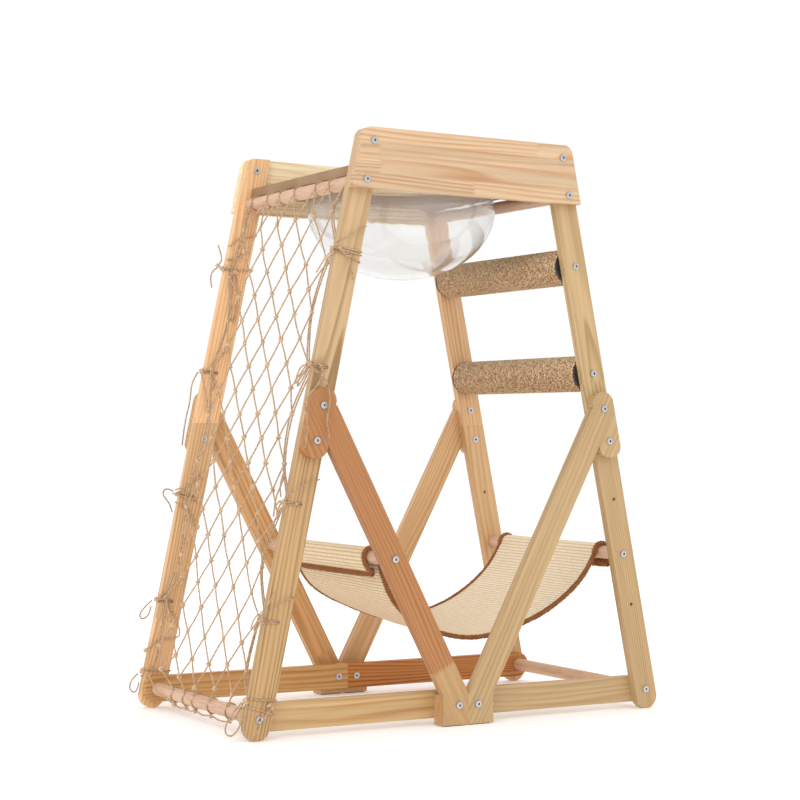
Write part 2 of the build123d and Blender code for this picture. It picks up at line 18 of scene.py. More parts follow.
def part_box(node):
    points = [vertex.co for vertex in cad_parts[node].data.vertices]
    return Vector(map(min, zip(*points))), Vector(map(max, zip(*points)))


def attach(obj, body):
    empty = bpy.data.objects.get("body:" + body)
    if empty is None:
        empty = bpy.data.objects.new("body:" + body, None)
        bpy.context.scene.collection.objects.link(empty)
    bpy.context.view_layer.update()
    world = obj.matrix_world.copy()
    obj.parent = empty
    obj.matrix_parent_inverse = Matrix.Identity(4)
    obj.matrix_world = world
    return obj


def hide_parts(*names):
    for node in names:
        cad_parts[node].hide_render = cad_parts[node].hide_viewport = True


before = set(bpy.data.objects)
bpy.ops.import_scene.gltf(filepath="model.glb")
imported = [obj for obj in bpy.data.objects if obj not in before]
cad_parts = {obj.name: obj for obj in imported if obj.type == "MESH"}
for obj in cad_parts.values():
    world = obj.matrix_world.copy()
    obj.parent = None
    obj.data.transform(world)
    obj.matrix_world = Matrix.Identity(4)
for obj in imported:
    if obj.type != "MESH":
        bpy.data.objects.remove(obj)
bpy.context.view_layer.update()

log = logging.getLogger("climbing_frame")
logging.basicConfig(level=logging.INFO, format="%(name)s: %(message)s")

MM = 0.001
FRAME_BODY = "frame"
TWINE_DIAMETER = 2.6 * MM
# Half the gap between two lines of twine that lie side by side.
PAIR_GAP = 1.3 * MM
# The Wave texture draws this many rings over 2 pi.
WAVE_RINGS = 20
Point = tuple[float, float, float]
Flat = tuple[float, float]
Adder = Callable[..., Any]


# ---------------------------------------------------------------- shared helpers
def linear(hex_value: str) -> tuple[float, float, float, float]:
    """Turn an sRGB hex colour, such as "#DEBC95", into a linear RGBA colour."""
    channels = [int(hex_value[i:i + 2], 16) / 255 for i in (1, 3, 5)]
    return *(c / 12.92 if c <= 0.04045 else ((c + 0.055) / 1.055) ** 2.4 for c in channels), 1.0


def add_node(tree: bpy.types.NodeTree, kind: str, *values: Any, **named: Any) -> Any:
    """Add one node to a tree, with its settings, values and links.

    Args:
        tree: Tree the node goes into.
        kind: Its type name, "ShaderNode" left out, and after a colon its operation, if it has one.
        *values: Values of its first inputs: numbers, hex colours, or the sockets that feed them.
        **named: Settings, in small letters, and other inputs, with a capital and "_" for a space.

    Returns:
        The node's first output in use, or None where it has no output.
    """
    name, _, operation = kind.partition(":")
    node = tree.nodes.new(name if "Node" in name else f"ShaderNode{name}")
    if operation:
        node.operation = operation
    stops = named.pop("stops", ())
    for _ in stops[2:]:
        node.color_ramp.elements.new(1.0)
    for element, (position, colour) in zip(node.color_ramp.elements if stops else (), stops):
        element.position, element.color = position, linear(colour)
    for key, value in named.items():
        if key[0].islower():
            setattr(node, key, value)
    used = [socket for socket in node.inputs if socket.enabled]
    by_name = {socket.name: socket for socket in reversed(used)}
    pairs = [*zip(used, values)]
    pairs += [(by_name[key.replace("_", " ")], value) for key, value in named.items() if key[0].isupper()]
    for socket, value in pairs:
        for item in value if isinstance(value, list) else [value]:
            if isinstance(item, bpy.types.NodeSocket):
                tree.links.new(item, socket)
            else:
                socket.default_value = linear(item) if socket.type == "RGBA" else item
    return next((socket for socket in node.outputs if socket.enabled), None)


def new_material(name: str) -> tuple[bpy.types.Material, Adder]:
    """Start a material; the result is the material and add_node for its tree."""
    material = bpy.data.materials.new(name)
    material.use_nodes = True
    material.node_tree.nodes.clear()
    return material, partial(add_node, material.node_tree)


def mesh_object(name: str, vertices: Iterable[Point], edges: Iterable = (), faces: Iterable = ()) -> Any:
    """Make a mesh object at the origin.

    Args:
        name: Name of the object.
        vertices: Points in metres.
        edges: Pairs of vertex indices.
        faces: Loops of vertex indices.

    Returns:
        The object, linked to the scene.
    """
    mesh = bpy.data.meshes.new(name)
    mesh.from_pydata([tuple(v) for v in vertices], list(edges), list(faces))
    mesh.update()
    return place_object(name, mesh)


def place_object(name: str, data: Any) -> bpy.types.Object:
    """Make an object of some data and link it to the scene."""
    made = bpy.data.objects.new(name, data)
    bpy.context.scene.collection.objects.link(made)
    return made


def dress(node: str, material: bpy.types.Material) -> None:
    """Give a CAD node its material, in every slot."""
    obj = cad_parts[node]
    if not obj.material_slots:
        obj.data.materials.append(material)
    for material_slot in obj.material_slots:
        material_slot.material = material


def middle(node: str) -> Vector:
    """Middle of a CAD node's box at rest."""
    low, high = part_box(node)
    return (Vector(low) + Vector(high)) / 2


def in_mm(*points: Point) -> list[Vector]:
    """Turn points in millimetres into points in metres."""
    return [Vector([c * MM for c in point]) for point in points]


def nurbs_line(points: Sequence[Point]) -> list[Vector]:
    """Follow a smooth NURBS line through its given control points.

    Args:
        points: Control points in metres.

    Returns:
        Points along the line.
    """
    curve = bpy.data.curves.new("line", "CURVE")
    curve.dimensions = "3D"
    curve.resolution_u = 10
    spline = curve.splines.new("NURBS")
    spline.points.add(len(points) - 1)
    for point, place in zip(spline.points, points):
        point.co = (*place, 1.0)
    spline.order_u = 3
    spline.use_endpoint_u = True
    carrier = place_object("line", curve)
    mesh = bpy.data.meshes.new_from_object(carrier)
    line = [vertex.co.copy() for vertex in mesh.vertices]
    bpy.data.objects.remove(carrier)
    bpy.data.curves.remove(curve)
    bpy.data.meshes.remove(mesh)
    return line


class NodeGroup:
    """A Geometry Nodes tree with named inputs, built in the script and applied to one object at a time."""

    def __init__(self, name: str, **inputs: str) -> None:
        """Start a tree with a geometry input and output.

        Args:
            name: Name of the tree.
            **inputs: Kinds of socket, such as "Float", each with its inputs' names, divided by commas.
        """
        self.tree = bpy.data.node_groups.new(name, "GeometryNodeTree")
        self.add = partial(add_node, self.tree)
        face = self.tree.interface
        for way in ("INPUT", "OUTPUT"):
            face.new_socket("Geometry", in_out=way, socket_type="NodeSocketGeometry")
        self.identifiers = {
            key: face.new_socket(key, in_out="INPUT", socket_type=f"NodeSocket{kind}").identifier
            for kind, keys in {**inputs, "Material": "Material"}.items() for key in keys.split(", ")}
        self.ports = self.add("NodeGroupInput").node.outputs

    def rope(self, line: bpy.types.NodeSocket, radius: bpy.types.NodeSocket, hollow: float) -> bpy.types.NodeSocket:
        """Lay three twisted strands along a curve, once round in each of the tree's Lay input.

        Which points of the strands' outline lie between strands is stored as "furrow", which fibre finishes read to
        paint shade into the grooves.

        Args:
            line: Socket of the curve.
            radius: Socket of the rope's radius.
            hollow: Radius between two strands, as a share of the whole.

        Returns:
            Socket of the rope's mesh.
        """
        travelled = self.add("GeometryNodeSplineParameter").node.outputs["Length"]
        twist = self.add("Math:MULTIPLY", self.add("Math:DIVIDE", travelled, self.ports["Lay"]), 2 * pi)
        tilted = self.add("GeometryNodeSetCurveTilt", line, Tilt=twist)
        inner = self.add("Math:MULTIPLY", radius, hollow)
        star, outer = self.add("GeometryNodeCurveStar", 3, inner, radius).node.outputs
        profile = self.add(
            "GeometryNodeStoreNamedAttribute", star, Name="furrow", Value=self.add("Math:SUBTRACT", 1.0, outer),
            data_type="FLOAT", domain="POINT")
        return self.add("GeometryNodeCurveToMesh", tilted, profile, Fill_Caps=True)

    def close(self, *parts: bpy.types.NodeSocket) -> None:
        """End the tree in real, smooth-shaded mesh of all its parts, with its material."""
        real = self.add("GeometryNodeRealizeInstances", self.add("GeometryNodeJoinGeometry", list(parts)))
        smooth = self.add("GeometryNodeSetShadeSmooth", real)
        self.add("NodeGroupOutput", self.add("GeometryNodeSetMaterial", smooth, Material=self.ports["Material"]))

    def build(self, carrier: bpy.types.Object, name: str, values: dict[str, Any]) -> bpy.types.Object:
        """Run the tree on an object and keep the result as a plain mesh.

        Args:
            carrier: Object that holds the input mesh; it is removed.
            name: Name of the finished piece.
            values: Values of the named inputs.

        Returns:
            The finished mesh object, at the origin.
        """
        modifier = carrier.modifiers.new("nodes", "NODES")
        modifier.node_group = self.tree
        for key, value in values.items():
            modifier[self.identifiers[key]] = value
        mesh = bpy.data.meshes.new_from_object(carrier.evaluated_get(bpy.context.evaluated_depsgraph_get()))
        carrier.modifiers.remove(modifier)
        bpy.data.objects.remove(carrier)
        mesh.name = name
        return place_object(name, mesh)


def finish_piece(piece: bpy.types.Object, slot: str, *replaced: str) -> None:
    """Tie a finished piece to the frame's body, hide the CAD nodes it stands for, and report it.

    Args:
        piece: The finished object.
        slot: Material slot of the record; not used.
        *replaced: CAD nodes it replaces.
    """
    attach(piece, FRAME_BODY)
    if replaced:
        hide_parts(*replaced)
    log.info("%s: %d faces on %s", piece.name, len(piece.data.polygons), FRAME_BODY)


# ---------------------------------------------------------------- studio
@dataclass
class Studio:
    """Plain pale floor, soft light all round and the camera.

    Args:
        camera_place: Where the camera stands.
        yaw: Turn of the view from +Y towards +X, in radians.
        pitch: Tilt of the view above the horizon, in radians.
        roll: Turn of the camera about its own axis, in radians.
        lens_mm: Focal length on a 36 mm sensor.
        aim: What the lamps look at.
        floor_half: Half the side of the floor.
        ambient: Strength of the light from all round.
    """

    camera_place: Point = (-1.73381, -2.96271, 0.4982)
    yaw: float = 0.5294
    pitch: float = 0.0164
    roll: float = 0.0054
    lens_mm: float = 85.42
    aim: Point = (0.0, 0.0, 0.45)
    floor_half: float = 9.0
    ambient: float = 0.92

    def build(self) -> None:
        """Make the floor, the lights and the camera."""
        self.make_camera()
        self.make_floor()
        self.make_world()
        self.make_lamp("key_light", (-2.6, -2.4, 3.0), 2.4, 36.0)
        self.make_lamp("fill_light", (2.8, -3.0, 2.2), 2.6, 12.0)
        self.make_lamp("back_light", (0.5, 3.2, 2.6), 2.4, 18.0)

    def make_camera(self) -> None:
        """Stand the camera up and make it the scene's."""
        forward = Vector((sin(self.yaw) * cos(self.pitch), cos(self.yaw) * cos(self.pitch), sin(self.pitch)))
        level = Vector((cos(self.yaw), -sin(self.yaw), 0.0))
        upright = level.cross(forward)
        right = cos(self.roll) * level + sin(self.roll) * upright
        up = cos(self.roll) * upright - sin(self.roll) * level
        data = bpy.data.cameras.new("camera")
        data.lens, data.sensor_width = self.lens_mm, 36.0
        data.clip_start, data.clip_end = 0.05, 60.0
        camera = place_object("camera", data)
        turn = Matrix((right, up, -forward)).transposed().to_4x4()
        camera.matrix_world = Matrix.Translation(self.camera_place) @ turn
        bpy.context.scene.camera = camera

    def make_floor(self) -> None:
        """Lay the matt white studio floor."""
        h = self.floor_half
        floor = mesh_object("studio_floor", [(-h, -h, 0), (h, -h, 0), (h, h, 0), (-h, h, 0)], (), [(0, 1, 2, 3)])
        material, add = new_material("white_studio_paper")
        # The paper is lit from below as well, so that it stays white all the way back.
        add("OutputMaterial", add(
            "BsdfPrincipled", "#FCFCFC", Roughness=0.9, Specular_IOR_Level=0.1, Emission_Color="#FFFFFF",
            Emission_Strength=0.16))
        floor.data.materials.append(material)

    def make_world(self) -> None:
        """Light the studio evenly from all sides, with a backdrop that is plain white where it is seen."""
        world = bpy.data.worlds.new("studio")
        world.use_nodes = True
        world.node_tree.nodes.clear()
        add = partial(add_node, world.node_tree)
        strength = add("MapRange", add("LightPath"), To_Min=self.ambient, To_Max=1.02)
        add("OutputWorld", add("Background", "#FFFFFF", strength))
        scene = bpy.context.scene
        scene.world = world
        scene.view_settings.view_transform = "Standard"

    def make_lamp(self, name: str, place: Point, size: float, watts: float) -> None:
        """Hang one soft square lamp that looks at the middle of the frame.

        Args:
            name: Name of the lamp.
            place: Where it hangs.
            size: Side of the square.
            watts: Its power.
        """
        data = bpy.data.lights.new(name, "AREA")
        data.size, data.energy = size, watts
        lamp = place_object(name, data)
        lamp.visible_glossy = False
        lamp.location = place
        aim = Vector(self.aim) - Vector(place)
        lamp.rotation_euler = aim.to_track_quat("-Z", "Y").to_euler()


# ---------------------------------------------------------------- finishes
@dataclass(frozen=True)
class Pine:
    """Planed, finger-jointed pine with a thin matt varnish: soft wandering streaks, pieces of differing tone.

    Args:
        name: Name of the material.
        centre: A point on the board's middle line.
        along: Direction of the board's length, as X and Z.
        seed: Number that sets this board apart from the others.
        stave_width: Width of the strips that the board is glued up from.
        board: The board's looks, with painted light in its colours.
        swing: How far the tone changes from piece to piece.
    """

    name: str
    centre: Point
    along: Flat
    seed: int
    stave_width: float
    board: "Board"
    swing: float = 0.07

    def material(self) -> bpy.types.Material:
        """Build the material.

        Returns:
            The finished material.
        """
        material, add = new_material(self.name)
        look = self.board
        turn = atan2(-self.along[1], self.along[0])
        board = add(
            "Mapping", add("TexCoord").node.outputs["Object"], self.centre, (0, turn, 0), vector_type="TEXTURE")
        length, _, width = add("SeparateXYZ", board).node.outputs
        # Fingers of the joints: 4 mm wide and 7 mm long.
        finger = add("Math:MULTIPLY", add("Math:PINGPONG", width, 2 * MM), 3.5)
        pieces = add("Math:DIVIDE", add("Math:ADD", length, finger), look.piece_length)
        stave = add("Math:FLOOR", add("Math:ADD", add("Math:DIVIDE", width, self.stave_width), 0.5))
        stagger = add("Math:ADD", add("Math:ADD", pieces, look.joint_at), add("Math:MULTIPLY", stave, 0.37))
        cell = add("CombineXYZ", add("Math:FLOOR", stagger), stave, self.seed)
        chance, spread = add("TexWhiteNoise", cell, noise_dimensions="3D").node.outputs
        moved = add("VectorMath:MULTIPLY_ADD", spread, (0.9, 0.3, 0.5), board)
        faint = self.streaks(add, moved, (2.6, 34.0, 34.0), 0.36, 0.6, 0.4, 1.0)
        late = add("Math:MULTIPLY", self.rings(add, moved), faint)
        wood = add("Mix", late, look.pale, look.dark, data_type="RGBA")
        if look.foot:
            lowest = add("Math:MULTIPLY", add("Math:LESS_THAN", stagger, 0.0), 0.8)
            wood = add("Mix", lowest, wood, look.foot, data_type="RGBA")
        tone = add("MapRange", chance, To_Min=1 - self.swing, To_Max=1 + self.swing)
        # Broad streaks 9 mm wide, then fibres 0.8 mm wide.
        broad = self.streaks(add, moved, (2.2, 110.0, 110.0), 0.3, 0.7, 0.9, 1.08)
        fine = self.streaks(add, board, (16.0, 620.0, 620.0), 0.3, 0.7, 0.95, 1.04)
        level = add("Math:MULTIPLY", add("Math:MULTIPLY", broad, fine), tone)
        colour = add("Mix", 1.0, wood, level, data_type="RGBA", blend_type="MULTIPLY")
        # The glue line of a joint is a hair darker, 0.9 mm wide.
        glue = 0.45 * MM / look.piece_length
        seam = add("Math:MULTIPLY", add("Math:LESS_THAN", add("Math:PINGPONG", stagger, 0.5), glue), 0.35)
        colour = add("Mix", seam, colour, look.dark, data_type="RGBA")
        bump = add("Bump", Strength=0.12, Distance=0.3 * MM, Height=fine)
        add("OutputMaterial", add(
            "BsdfPrincipled", colour, Roughness=0.5, Specular_IOR_Level=0.35, Coat_Weight=0.08, Coat_Roughness=0.35,
            Normal=bump))
        return material

    @staticmethod
    def streaks(add: Adder, place: Any, scale: Point, *levels: float) -> bpy.types.NodeSocket:
        """Noise drawn out along the board.

        Args:
            add: Adds a node to the material.
            place: Coordinates along, through and across the board.
            scale: Pattern repeats per metre in those directions.
            *levels: Range of the noise that counts, and the range that it is spread over.

        Returns:
            Socket of the streaks.
        """
        noise = add("TexNoise", add("Mapping", place, Scale=scale), Scale=1.0, Detail=2.0)
        return add("MapRange", noise, *levels)

    def rings(self, add: Adder, place: Any) -> bpy.types.NodeSocket:
        """Growth rings round a pith that lies outside the board, wandering as the tree grew.

        Args:
            add: Adds a node to the material.
            place: Coordinates along, through and across the board.

        Returns:
            Socket that is 1 in the late wood and 0 in the early wood.
        """
        rng = Random(self.seed)
        slow = add("Mapping", place, Scale=(1.4, 17.0, 17.0))
        noise = add("TexNoise", slow, Scale=1.0, Detail=1.0).node.outputs["Color"]
        pith = (0.0, rng.uniform(-0.02, 0.02), rng.choice((-1, 1)) * rng.uniform(0.07, 0.13))
        wander = add("VectorMath:MULTIPLY_ADD", noise, (0.0, 0.045, 0.055), pith)
        rings = add("VectorMath:ADD", add("Mapping", place, Scale=(0.08, 1.0, 1.0)), wander)
        wave = add(
            "TexWave", rings, 2 * pi / WAVE_RINGS / (self.board.ring_mm * MM), 2.5, 2.0, 0.4, 0.5,
            rng.uniform(0, 6), wave_type="RINGS", rings_direction="X", wave_profile="SAW").node.outputs["Fac"]
        return add("ValToRGB", wave, stops=(
            (0.0, "#202020"), (0.35, "#000000"), (0.78, "#FFFFFF"), (0.9, "#FFFFFF"), (1.0, "#202020")))


@dataclass(frozen=True)
class Grained:
    """A matt finish in two tones, with fine flecks over broad clouds.

    Args:
        name: Name of the material.
        pale: Lighter tone.
        dark: Darker tone.
        flecks: Flecks per metre along X, Y and Z.
        clouds: Clouds per metre along X, Y and Z.
        detail: Detail of both patterns.
        share: Share of the flecks in the tone.
        levels: Levels at which the tone is all dark and all pale.
        relief: Strength and depth of the flecks' relief.
        shine: Roughness and specular level.
    """

    name: str
    pale: str
    dark: str
    flecks: Point
    clouds: Point
    detail: Flat
    share: float
    levels: Flat
    relief: Flat
    shine: Flat

    def material(self) -> bpy.types.Material:
        """Build the material.

        Returns:
            The finished material.
        """
        material, add = new_material(self.name)
        place = add("TexCoord").node.outputs["Object"]
        fleck, cloud = (
            add("TexNoise", add("Mapping", place, Scale=scale), Scale=1.0, Detail=detail)
            for scale, detail in zip((self.flecks, self.clouds), self.detail))
        both = add("Math:ADD", add("Math:MULTIPLY", fleck, self.share), add("Math:MULTIPLY", cloud, 1 - self.share))
        colour = add("ValToRGB", both, stops=((self.levels[0], self.dark), (self.levels[1], self.pale)))
        bump = add("Bump", Strength=self.relief[0], Distance=self.relief[1], Height=fleck)
        add("OutputMaterial", add(
            "BsdfPrincipled", colour, Roughness=self.shine[0], Specular_IOR_Level=self.shine[1], Normal=bump))
        return material


# Dowel stock of steamed beech, sanded smooth: pinkish, with short dark flecks along the rod.
BEECH = Grained(
    "sanded_steamed_beech", "#DDBA9F", "#C99E80", (520.0, 45.0, 520.0), (60.0, 5.0, 60.0), (3.0, 2.0),
    0.5, (0.36, 0.56), (0.1, 0.2 * MM), (0.5, 0.35))
# Plain brown fibre board: a felt of short fibres.
FIBRE_BOARD = Grained(
    "brown_fibre_board", "#B39271", "#8F6F50", (900.0, 900.0, 900.0), (14.0, 14.0, 14.0), (4.0, 3.0),
    0.6, (0.38, 0.6), (0.2, 0.3 * MM), (0.65, 0.3))


@dataclass(frozen=True)
class Metal:
    """A turned or plated metal: fine brushed scatter in its roughness, and painted shade in its sockets."""

    name: str
    colour: str
    roughness: float

    def material(self) -> bpy.types.Material:
        """Build the material.

        Returns:
            The finished material.
        """
        material, add = new_material(self.name)
        scatter = add("TexNoise", add("TexCoord").node.outputs["Object"], Scale=1400.0, Detail=3.0)
        rough = add("MapRange", scatter, To_Min=self.roughness - 0.08, To_Max=self.roughness + 0.1)
        bump = add("Bump", Strength=0.08, Distance=0.1 * MM, Height=scatter)
        # Painted shade: the colour darkens towards near black in the sockets, where ambient occlusion finds nearby
        # surfaces.
        shade = add("AmbientOcclusion", Distance=5 * MM, samples=6).node.outputs["AO"]
        colour = add("Mix", add("MapRange", shade, 0.15, 0.55), "#2A2A2C", self.colour, data_type="RGBA")
        add("OutputMaterial", add("BsdfPrincipled", colour, Metallic=1.0, Roughness=rough, Normal=bump))
        return material


@dataclass(frozen=True)
class MouldedPlastic:
    """Black moulded plastic or rubber with a fine spark-eroded grain."""

    name: str
    colour: str
    roughness: float

    def material(self) -> bpy.types.Material:
        """Build the material.

        Returns:
            The finished material.
        """
        material, add = new_material(self.name)
        grain = add("TexVoronoi", add("TexCoord").node.outputs["Object"], Scale=1600.0)
        bump = add("Bump", Strength=0.15, Distance=0.15 * MM, Height=grain)
        add("OutputMaterial", add("BsdfPrincipled", self.colour, Roughness=self.roughness, Normal=bump))
        return material


@dataclass(frozen=True)
class ClearAcrylic:
    """Blown acrylic sheet: clear and glossy, with a faint white haze and slow waves from the forming."""

    name: str = "blown_clear_acrylic"

    def material(self) -> bpy.types.Material:
        """Build the material.

        Returns:
            The finished material.
        """
        material, add = new_material(self.name)
        place = add("TexCoord").node.outputs["Object"]
        wave = add("TexNoise", place, Scale=11.0, Detail=1.0)
        bump = add("Bump", Strength=0.05, Distance=2 * MM, Height=wave)
        scuff = add("TexNoise", place, Scale=300.0, Detail=4.0)
        rough = add("MapRange", scuff, 0.45, 0.8, 0.03, 0.1)
        add("OutputMaterial", add(
            "BsdfPrincipled", "#FFFFFE", Transmission_Weight=0.93, IOR=1.49, Roughness=rough, Normal=bump))
        return material


@dataclass(frozen=True)
class PlantFibre:
    """Twisted plant fibre, as in hemp twine, sisal rope or whipping thread: matt, uneven, with a soft sheen.

    Args:
        name: Name of the material.
        pale: Colour of the strands that catch the light.
        dark: Colour between the fibres.
        fibre_mm: Width that the fibres are drawn at.
        painted_groove_shade: Painted shade: how much darker the grooves between strands are painted, and how much
            paler their crests; 0 where there are no strands.
        levels: Levels of the fibre pattern at which the colour is all dark and all pale.
        patches: Patches per metre, and their share of the pattern.
    """

    name: str
    pale: str
    dark: str
    fibre_mm: float
    painted_groove_shade: float = 0.0
    levels: Flat = (0.33, 0.62)
    patches: Flat = (240.0, 0.5)

    def material(self) -> bpy.types.Material:
        """Build the material.

        Returns:
            The finished material.
        """
        material, add = new_material(self.name)
        place = add("TexCoord").node.outputs["Object"]
        fibres = add("TexNoise", place, Scale=0.5 / (self.fibre_mm * MM), Detail=4.0, Roughness=0.7)
        patch = add("TexNoise", place, Scale=self.patches[0], Detail=2.0)
        both = add("Mix", self.patches[1], fibres, patch, data_type="FLOAT")
        # Painted shade and light: the grooves between strands are painted darker and their crests paler, by
        # painted_groove_shade.
        furrow = add("Attribute", attribute_name="furrow").node.outputs["Fac"]
        lift = add("Math:MULTIPLY", add("Math:SUBTRACT", 0.4, furrow), self.painted_groove_shade)
        stops = ((self.levels[0], self.dark), (self.levels[1], self.pale))
        colour = add("ValToRGB", add("Math:ADD", both, lift), stops=stops)
        bump = add("Bump", Strength=0.5, Distance=self.fibre_mm * MM, Height=fibres)
        add("OutputMaterial", add(
            "BsdfPrincipled", colour, Roughness=0.85, Specular_IOR_Level=0.2, Sheen_Weight=0.15,
            Sheen_Roughness=0.5, Normal=bump))
        return material


@dataclass(frozen=True)
class StrawWeave:
    """Woven paper straw: rows across the mat, each a line of short slanting stitches, cream with painted shade in the
    gaps and painted light on its right part.

    Args:
        row_mm: Distance between rows.
        stitch_mm: Length of a stitch in its row.
    """

    row_mm: float = 6.2
    stitch_mm: float = 4.6

    def material(self) -> bpy.types.Material:
        """Build the material, whose pattern reads the mat's own UV map, in metres across and along.

        Returns:
            The finished material.
        """
        material, add = new_material("woven_paper_straw")
        uv = add("UVMap", uv_map="weave")
        across, along, _ = add("SeparateXYZ", uv).node.outputs
        row = add("Math:DIVIDE", along, self.row_mm * MM)
        lean = add("Math:MULTIPLY", add("Math:PINGPONG", row, 1.0), 0.9)
        stitch = add("Math:ADD", add("Math:DIVIDE", across, self.stitch_mm * MM), lean)
        # Both swell towards the middle of a row or of a stitch, and fall to 0 in the gaps.
        swell_row, swell_stitch = (
            add("Math:POWER", add("Math:MULTIPLY", add("Math:PINGPONG", cell, 0.5), 2.0), power)
            for cell, power in ((row, 0.6), (stitch, 0.7)))
        over = add("Math:ADD", add("Math:MULTIPLY", swell_stitch, 0.6), 0.4)
        relief = add("Math:MULTIPLY", swell_row, over)
        cell = add("CombineXYZ", add("Math:FLOOR", row), add("Math:FLOOR", stitch))
        tone = add("TexWhiteNoise", cell, noise_dimensions="2D")
        broad = add("Math:MULTIPLY", add("TexNoise", uv, Scale=26.0, Detail=3.0), 0.35)
        straw_tone = add("Mix", tone, "#FCEBD0", "#F1DCB9", data_type="RGBA")
        straw = add("Mix", broad, straw_tone, "#E7CDA3", data_type="RGBA")
        painted_lit_straw = add("Mix", tone, "#FFF4DF", "#F7E6CA", data_type="RGBA")
        # Painted shade: the gaps between rows and stitches, low in the relief, are painted darker.
        gap = add("MapRange", relief, 0.12, 0.5)
        # Painted light: past the middle of the mat, the right slope, which faces the light, is painted paler.
        painted_light_share = add("MapRange", along, 0.3, 0.46)
        woven = add("Mix", gap, "#CAA878", straw, data_type="RGBA")
        pale = add("Mix", gap, "#D6B98E", painted_lit_straw, data_type="RGBA")
        colour = add("Mix", painted_light_share, woven, pale, data_type="RGBA")
        bump = add("Bump", Strength=0.75, Distance=1.2 * MM, Height=relief)
        add("OutputMaterial", add("BsdfPrincipled", colour, Roughness=0.75, Specular_IOR_Level=0.3, Normal=bump))
        return material


# ---------------------------------------------------------------- side frames
@dataclass(frozen=True)
class Geometry:
    """Lines of the side frames that other pieces are laid out on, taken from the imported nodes.

    Args:
        lean: How far a leg leans in per unit of height.
        base_half_span: X of the right leg's centre line on the floor.
        brace_lean: How far a brace leans per unit of height.
        board_width: Width of a leg.
        leg_out: Distance of a leg's outer face from the middle.
        leg_in: Distance of its inner face.
    """

    lean: float = 0.20888
    base_half_span: float = 0.3947
    brace_lean: float = 0.528
    board_width: float = 0.045
    leg_out: float = 0.2206
    leg_in: float = 0.2056

    def leg_x(self, z: float) -> float:
        """X of the right leg's centre line at a height."""
        return self.base_half_span - self.lean * z

    @property
    def slant(self) -> float:
        """Length along the leg per unit of height."""
        return hypot(1.0, self.lean)

    @property
    def edge_dx(self) -> float:
        """Level distance from a leg's centre line to its edge."""
        return self.board_width / 2 * self.slant


LAYOUT = Geometry()


@dataclass(frozen=True)
class Board:
    """One pine board's looks, whose colours carry painted light: each is matched to how brightly that board is lit.

    Args:
        pale: Colour of its early wood.
        dark: Colour of its late wood.
        ring_mm: Distance between its growth rings.
        piece_length: Distance between its finger joints.
        joint_at: Where a joint falls, as a share of a piece.
        foot: Colour of the piece below its lowest joint, where that is of another tone.
    """

    pale: str
    dark: str
    ring_mm: float = 6.0
    piece_length: float = 0.6
    joint_at: float = 0.5
    foot: str = ""


@dataclass
class SideFrames:
    """The pine boards of both side frames, each with the grain along its own length."""

    # Painted light: each board's colours are matched to how bright it looks, so the far legs, braces and top plate,
    # lit more brightly, are painted paler than the near ones, the far top plate palest.
    boards: dict[str, Board] = field(default_factory=lambda: {
        "near_top_plate": Board("#D8B995", "#C7956B", 8.5, 0.5, 0.35),
        "far_top_plate": Board("#FBEBC6", "#EBC48D", 7.0, 0.5, 0.2),
        "near_left_upper_leg": Board("#CAA97F", "#98774C", 6.5, 0.7, 0.5),
        "near_right_upper_leg": Board("#CDAD7F", "#AD8C5D", 7.0, 0.42, 0.4),
        "near_left_lower_leg": Board("#C9A272", "#997646", 6.8, 0.8, 0.5),
        "near_right_lower_leg": Board("#C1A177", "#AA8858", 6.2, 0.6, 0.6),
        "near_left_brace": Board("#B98151", "#A36939", 6.0, 0.52, 0.41, "#C3A071"),
        "near_right_brace": Board("#CBAB7D", "#BC9A6B", 8.0, 1.2, 0.5),
        "near_left_rail": Board("#C6A475", "#B18752", 6.4, 0.5, 0.5),
        "near_right_rail": Board("#C5A67C", "#B89567", 8.0, 0.5, 0.4),
        "far_left_upper_leg": Board("#F2C595", "#DEA76D", 7.0, 0.6, 0.4),
        "far_right_upper_leg": Board("#E1B788", "#CA9869", 6.4, 0.6, 0.7),
        "far_left_lower_leg": Board("#E7BE90", "#CF9C63", 6.6, 0.5, 0.2),
        "far_right_lower_leg": Board("#D8B182", "#BF9360", 6.6, 0.55, 0.5),
        "far_left_brace": Board("#D8A770", "#BB8552", 6.2, 0.4, 0.6),
        "far_right_brace": Board("#D8AF83", "#BD8D55", 6.8, 0.5, 0.1),
        "far_left_rail": Board("#CA9D64", "#A76E37", 6.4, 0.6, 0.5),
        "far_right_rail": Board("#BE7C40", "#93531F", 7.0, 0.5, 0.5),
        "foot_fillers": Board("#D3A97C", "#B98A57"),
    })

    plate_stave: float = 0.052
    whole_board: float = 0.2
    filler_centre: Point = (0.0, 0.0, 0.026)

    def build(self) -> None:
        """Dress every board."""
        for seed, (node, board) in enumerate(self.boards.items(), start=11):
            stave = self.plate_stave if node.endswith("plate") else self.whole_board
            centre = self.filler_centre if node == "foot_fillers" else tuple(middle(node))
            finish = Pine(f"planed_pine_{node}", centre, self.direction(node), seed, stave, board)
            dress(node, finish.material())
        log.info("%d boards dressed in pine", len(self.boards))

    @staticmethod
    def direction(node: str) -> tuple[float, float]:
        """Direction of a board's length.

        Args:
            node: Name of the board's node.

        Returns:
            X and Z of the direction.
        """
        side = -1.0 if "left" in node else 1.0
        if node.endswith("leg"):
            return -side * LAYOUT.lean, 1.0
        if node.endswith("brace"):
            return side * LAYOUT.brace_lean, 1.0
        return 1.0, 0.0


